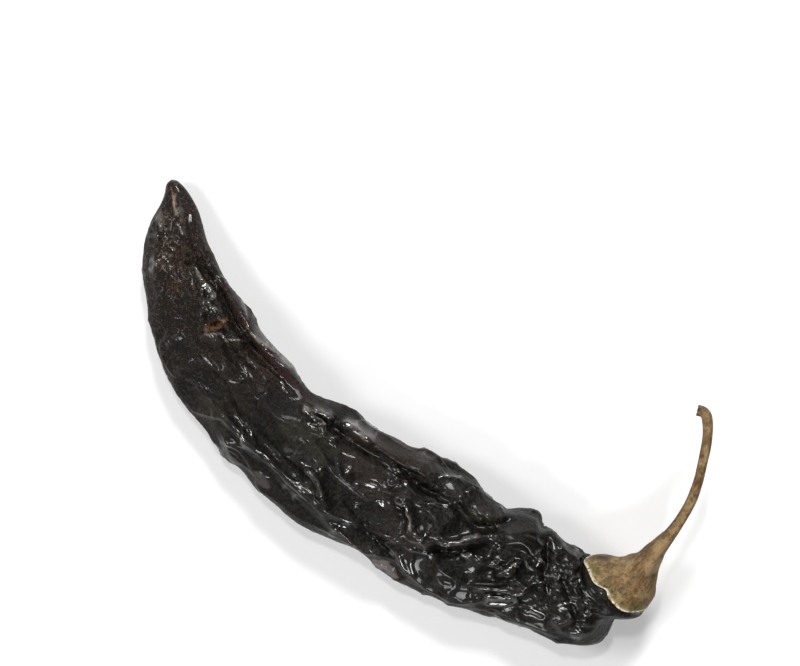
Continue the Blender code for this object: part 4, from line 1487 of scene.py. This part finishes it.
@dataclass(frozen=True)
class StemFinish:
    """Dried stem and calyx: matte tan brown, mottled with olive, with a pale thin rim."""

    tan: Row = (0.20, 0.118, 0.044, 1.0)
    brown: Row = (0.070, 0.037, 0.013, 1.0)
    olive: Row = (0.118, 0.096, 0.024, 1.0)
    pale: Row = (0.36, 0.25, 0.12, 1.0)
    cream: Row = (0.72, 0.64, 0.48, 1.0)
    dark: Row = (0.022, 0.018, 0.012, 1.0)
    shadow: Row = (0.040, 0.032, 0.014, 1.0)
    specular: float = 0.25
    fibre_depth: float = 0.00035
    lump_depth: float = 0.0006
    fibre_stretch: Row = (1.0, 0.25, 0.8)
    mottle_scale: float = 260.0
    speck_scale: float = 800.0
    fibre_scale: float = 900.0
    fine_scale: float = 1100.0
    calyx_end: Point = (9.0, 16.0)
    rim_band: Point = (5.5, 9.5)
    paler_end: Point = (44.0, 58.0)

    def material(self) -> bpy.types.Material:
        """Makes the material.

        Returns:
            The stem's material.
        """
        shader = Shader("dried_stem")
        along = shader.stored("along")
        streaks = shader.node("ShaderNodeVectorMath", {"operation": "MULTIPLY"},
                              {0: shader.place, 1: self.fibre_stretch})
        values = {"Vector": streaks, "Scale": self.fibre_scale, "Detail": 5.0, "Roughness": 0.65}
        fibre = shader.node("ShaderNodeTexNoise", {}, values, "Fac")
        mottle = shader.noise(self.mottle_scale, 5.0, 0.65)
        fine = shader.noise(self.fine_scale, 3.0, 0.6)
        calyx = 1.0 - shader.between(along, *self.calyx_end)
        shade = shader.mix(shader.between(fibre, 0.35, 0.7), self.brown, self.tan)
        by_rim = 1.0 - shader.between(along + mottle * 9.0, *self.rim_band)
        greened = (by_rim + shader.between(mottle, 0.50, 0.62) * 0.5).held() * calyx * 0.9
        shade = shader.mix(greened, shade, self.olive)
        shade = shader.mix(shader.between(mottle + fine * 0.4, 0.62, 0.80) * 0.55, shade, self.pale)
        shade = shader.mix(shader.between(fine, 0.52, 0.62) * calyx * 0.75, shade, self.brown)
        specks = shader.between(shader.noise(self.speck_scale, 3.0), 0.62, 0.70)
        shade = shader.mix(specks * (calyx * 0.3 + 0.35), shade, self.dark)
        shade = shader.mix(shader.between(along, *self.paler_end) * 0.25, shade, self.pale)
        shade = shader.mix(shader.stored("inner") * (1.0 - calyx) * 0.6, shade, self.shadow)
        shade = shader.mix(shader.stored("rim") * shader.between(fine, 0.35, 0.55), shade, self.cream)
        # Dark specks by the rim, and painted shade on the calyx's inner side
        speck_and_shade = shader.stored("speck_and_shade") * shader.between(fine + mottle, 0.5, 0.8)
        shade = shader.mix(speck_and_shade, shade, self.dark)
        shade = shader.mix(shader.stored("cut") * shader.between(fine, 0.3, 0.5), shade, self.dark)
        shader.set("Base Color", shade)
        shader.set("Roughness", (0.5 + fibre * 0.25).held())
        shader.set("Specular IOR Level", self.specular)
        ribs = shader.bump(fibre, self.fibre_depth)
        shader.set("Normal", shader.bump(mottle, self.lump_depth, ribs))
        return shader.material


@dataclass
class Softbox:
    """A square studio light that faces the pepper."""

    azimuth: float
    elevation: float
    distance: float
    size: float
    power: float

    def build(self, name: str, target: Vector) -> None:
        """Hangs the light.

        Args:
            name: its name.
            target: the place that it faces.
        """
        light = bpy.data.lights.new(name, "AREA")
        light.shape = "SQUARE"
        light.size = self.size
        light.energy = self.power
        turn, rise = math.radians(self.azimuth), math.radians(self.elevation)
        level = self.distance * math.cos(rise)
        place = Vector((math.cos(turn) * level, math.sin(turn) * level,
                        self.distance * math.sin(rise)))
        lamp = bpy.data.objects.new(name, light)
        lamp.location = target + place
        lamp.rotation_euler = (-place).to_track_quat("-Z", "Y").to_euler()
        bpy.context.collection.objects.link(lamp)


@dataclass
class Studio:
    """A plain pale floor, soft studio light and a camera straight above."""

    floor_size: float = 3.0
    floor_colour: Row = (0.9, 0.9, 0.9, 1.0)
    floor_roughness: float = 0.9
    floor_specular: float = 0.1
    air_colour: Row = (1.0, 1.0, 1.0, 1.0)
    air: float = 0.08
    aim: Vector = field(default_factory=lambda: Vector((-0.0128, 0.0078, 0.010)))
    turn: float = math.radians(43.3)
    distance: float = 0.9
    lens: float = 150.0
    boxes: list[Softbox] = field(default_factory=lambda: [
        Softbox(125.0, 45.0, 1.0, 0.25, 9.0),
        Softbox(300.0, 38.0, 1.0, 0.25, 6.0),
        Softbox(215.0, 42.0, 1.0, 0.30, 3.5),
        Softbox(150.0, 72.0, 1.0, 0.10, 2.0),
    ])

    def build(self) -> None:
        """Makes the floor, the light and the camera."""
        bpy.ops.object.select_all(action="DESELECT")
        bpy.ops.mesh.primitive_plane_add(size=self.floor_size)
        floor = bpy.context.object
        floor.name = "studio_floor"
        shader = Shader("pale_floor")
        shader.set("Base Color", self.floor_colour)
        shader.set("Roughness", self.floor_roughness)
        shader.set("Specular IOR Level", self.floor_specular)
        floor.data.materials.append(shader.material)
        world = bpy.data.worlds.new("studio_air")
        world.use_nodes = True
        background = world.node_tree.nodes["Background"]
        background.inputs["Color"].default_value = self.air_colour
        background.inputs["Strength"].default_value = self.air
        bpy.context.scene.world = world
        bpy.context.scene.view_settings.view_transform = "Standard"
        for number, box in enumerate(self.boxes, start=1):
            box.build(f"softbox_{number}", self.aim)
        camera = bpy.data.objects.new("camera", bpy.data.cameras.new("camera"))
        camera.data.lens = self.lens
        camera.location = self.aim + Vector((0.0, 0.0, self.distance))
        camera.rotation_euler = (0.0, 0.0, self.turn)
        bpy.context.collection.objects.link(camera)
        bpy.context.scene.camera = camera


def dress_piece(piece: bpy.types.Object, node: Node,
                material: bpy.types.Material) -> None:
    """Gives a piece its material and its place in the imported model.

    Args:
        piece: the piece.
        node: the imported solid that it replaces.
        material: its material.
    """
    piece.data.materials.clear()
    piece.data.materials.append(material)
    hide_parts(node.value)
    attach(piece, "root")


def main() -> None:
    """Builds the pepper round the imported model."""
    noise.seed_set(NOISE_SEED)
    logging.basicConfig(level=logging.INFO, format="%(name)s: %(message)s")
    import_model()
    Studio().build()
    for part in (Pod(AXIS), StemWithCalyx(AXIS)):
        piece = part.build()
        part.dress(piece)
        LOG.info("%s: %d faces", piece.name, len(piece.data.polygons))


if __name__ == "__main__":
    main()
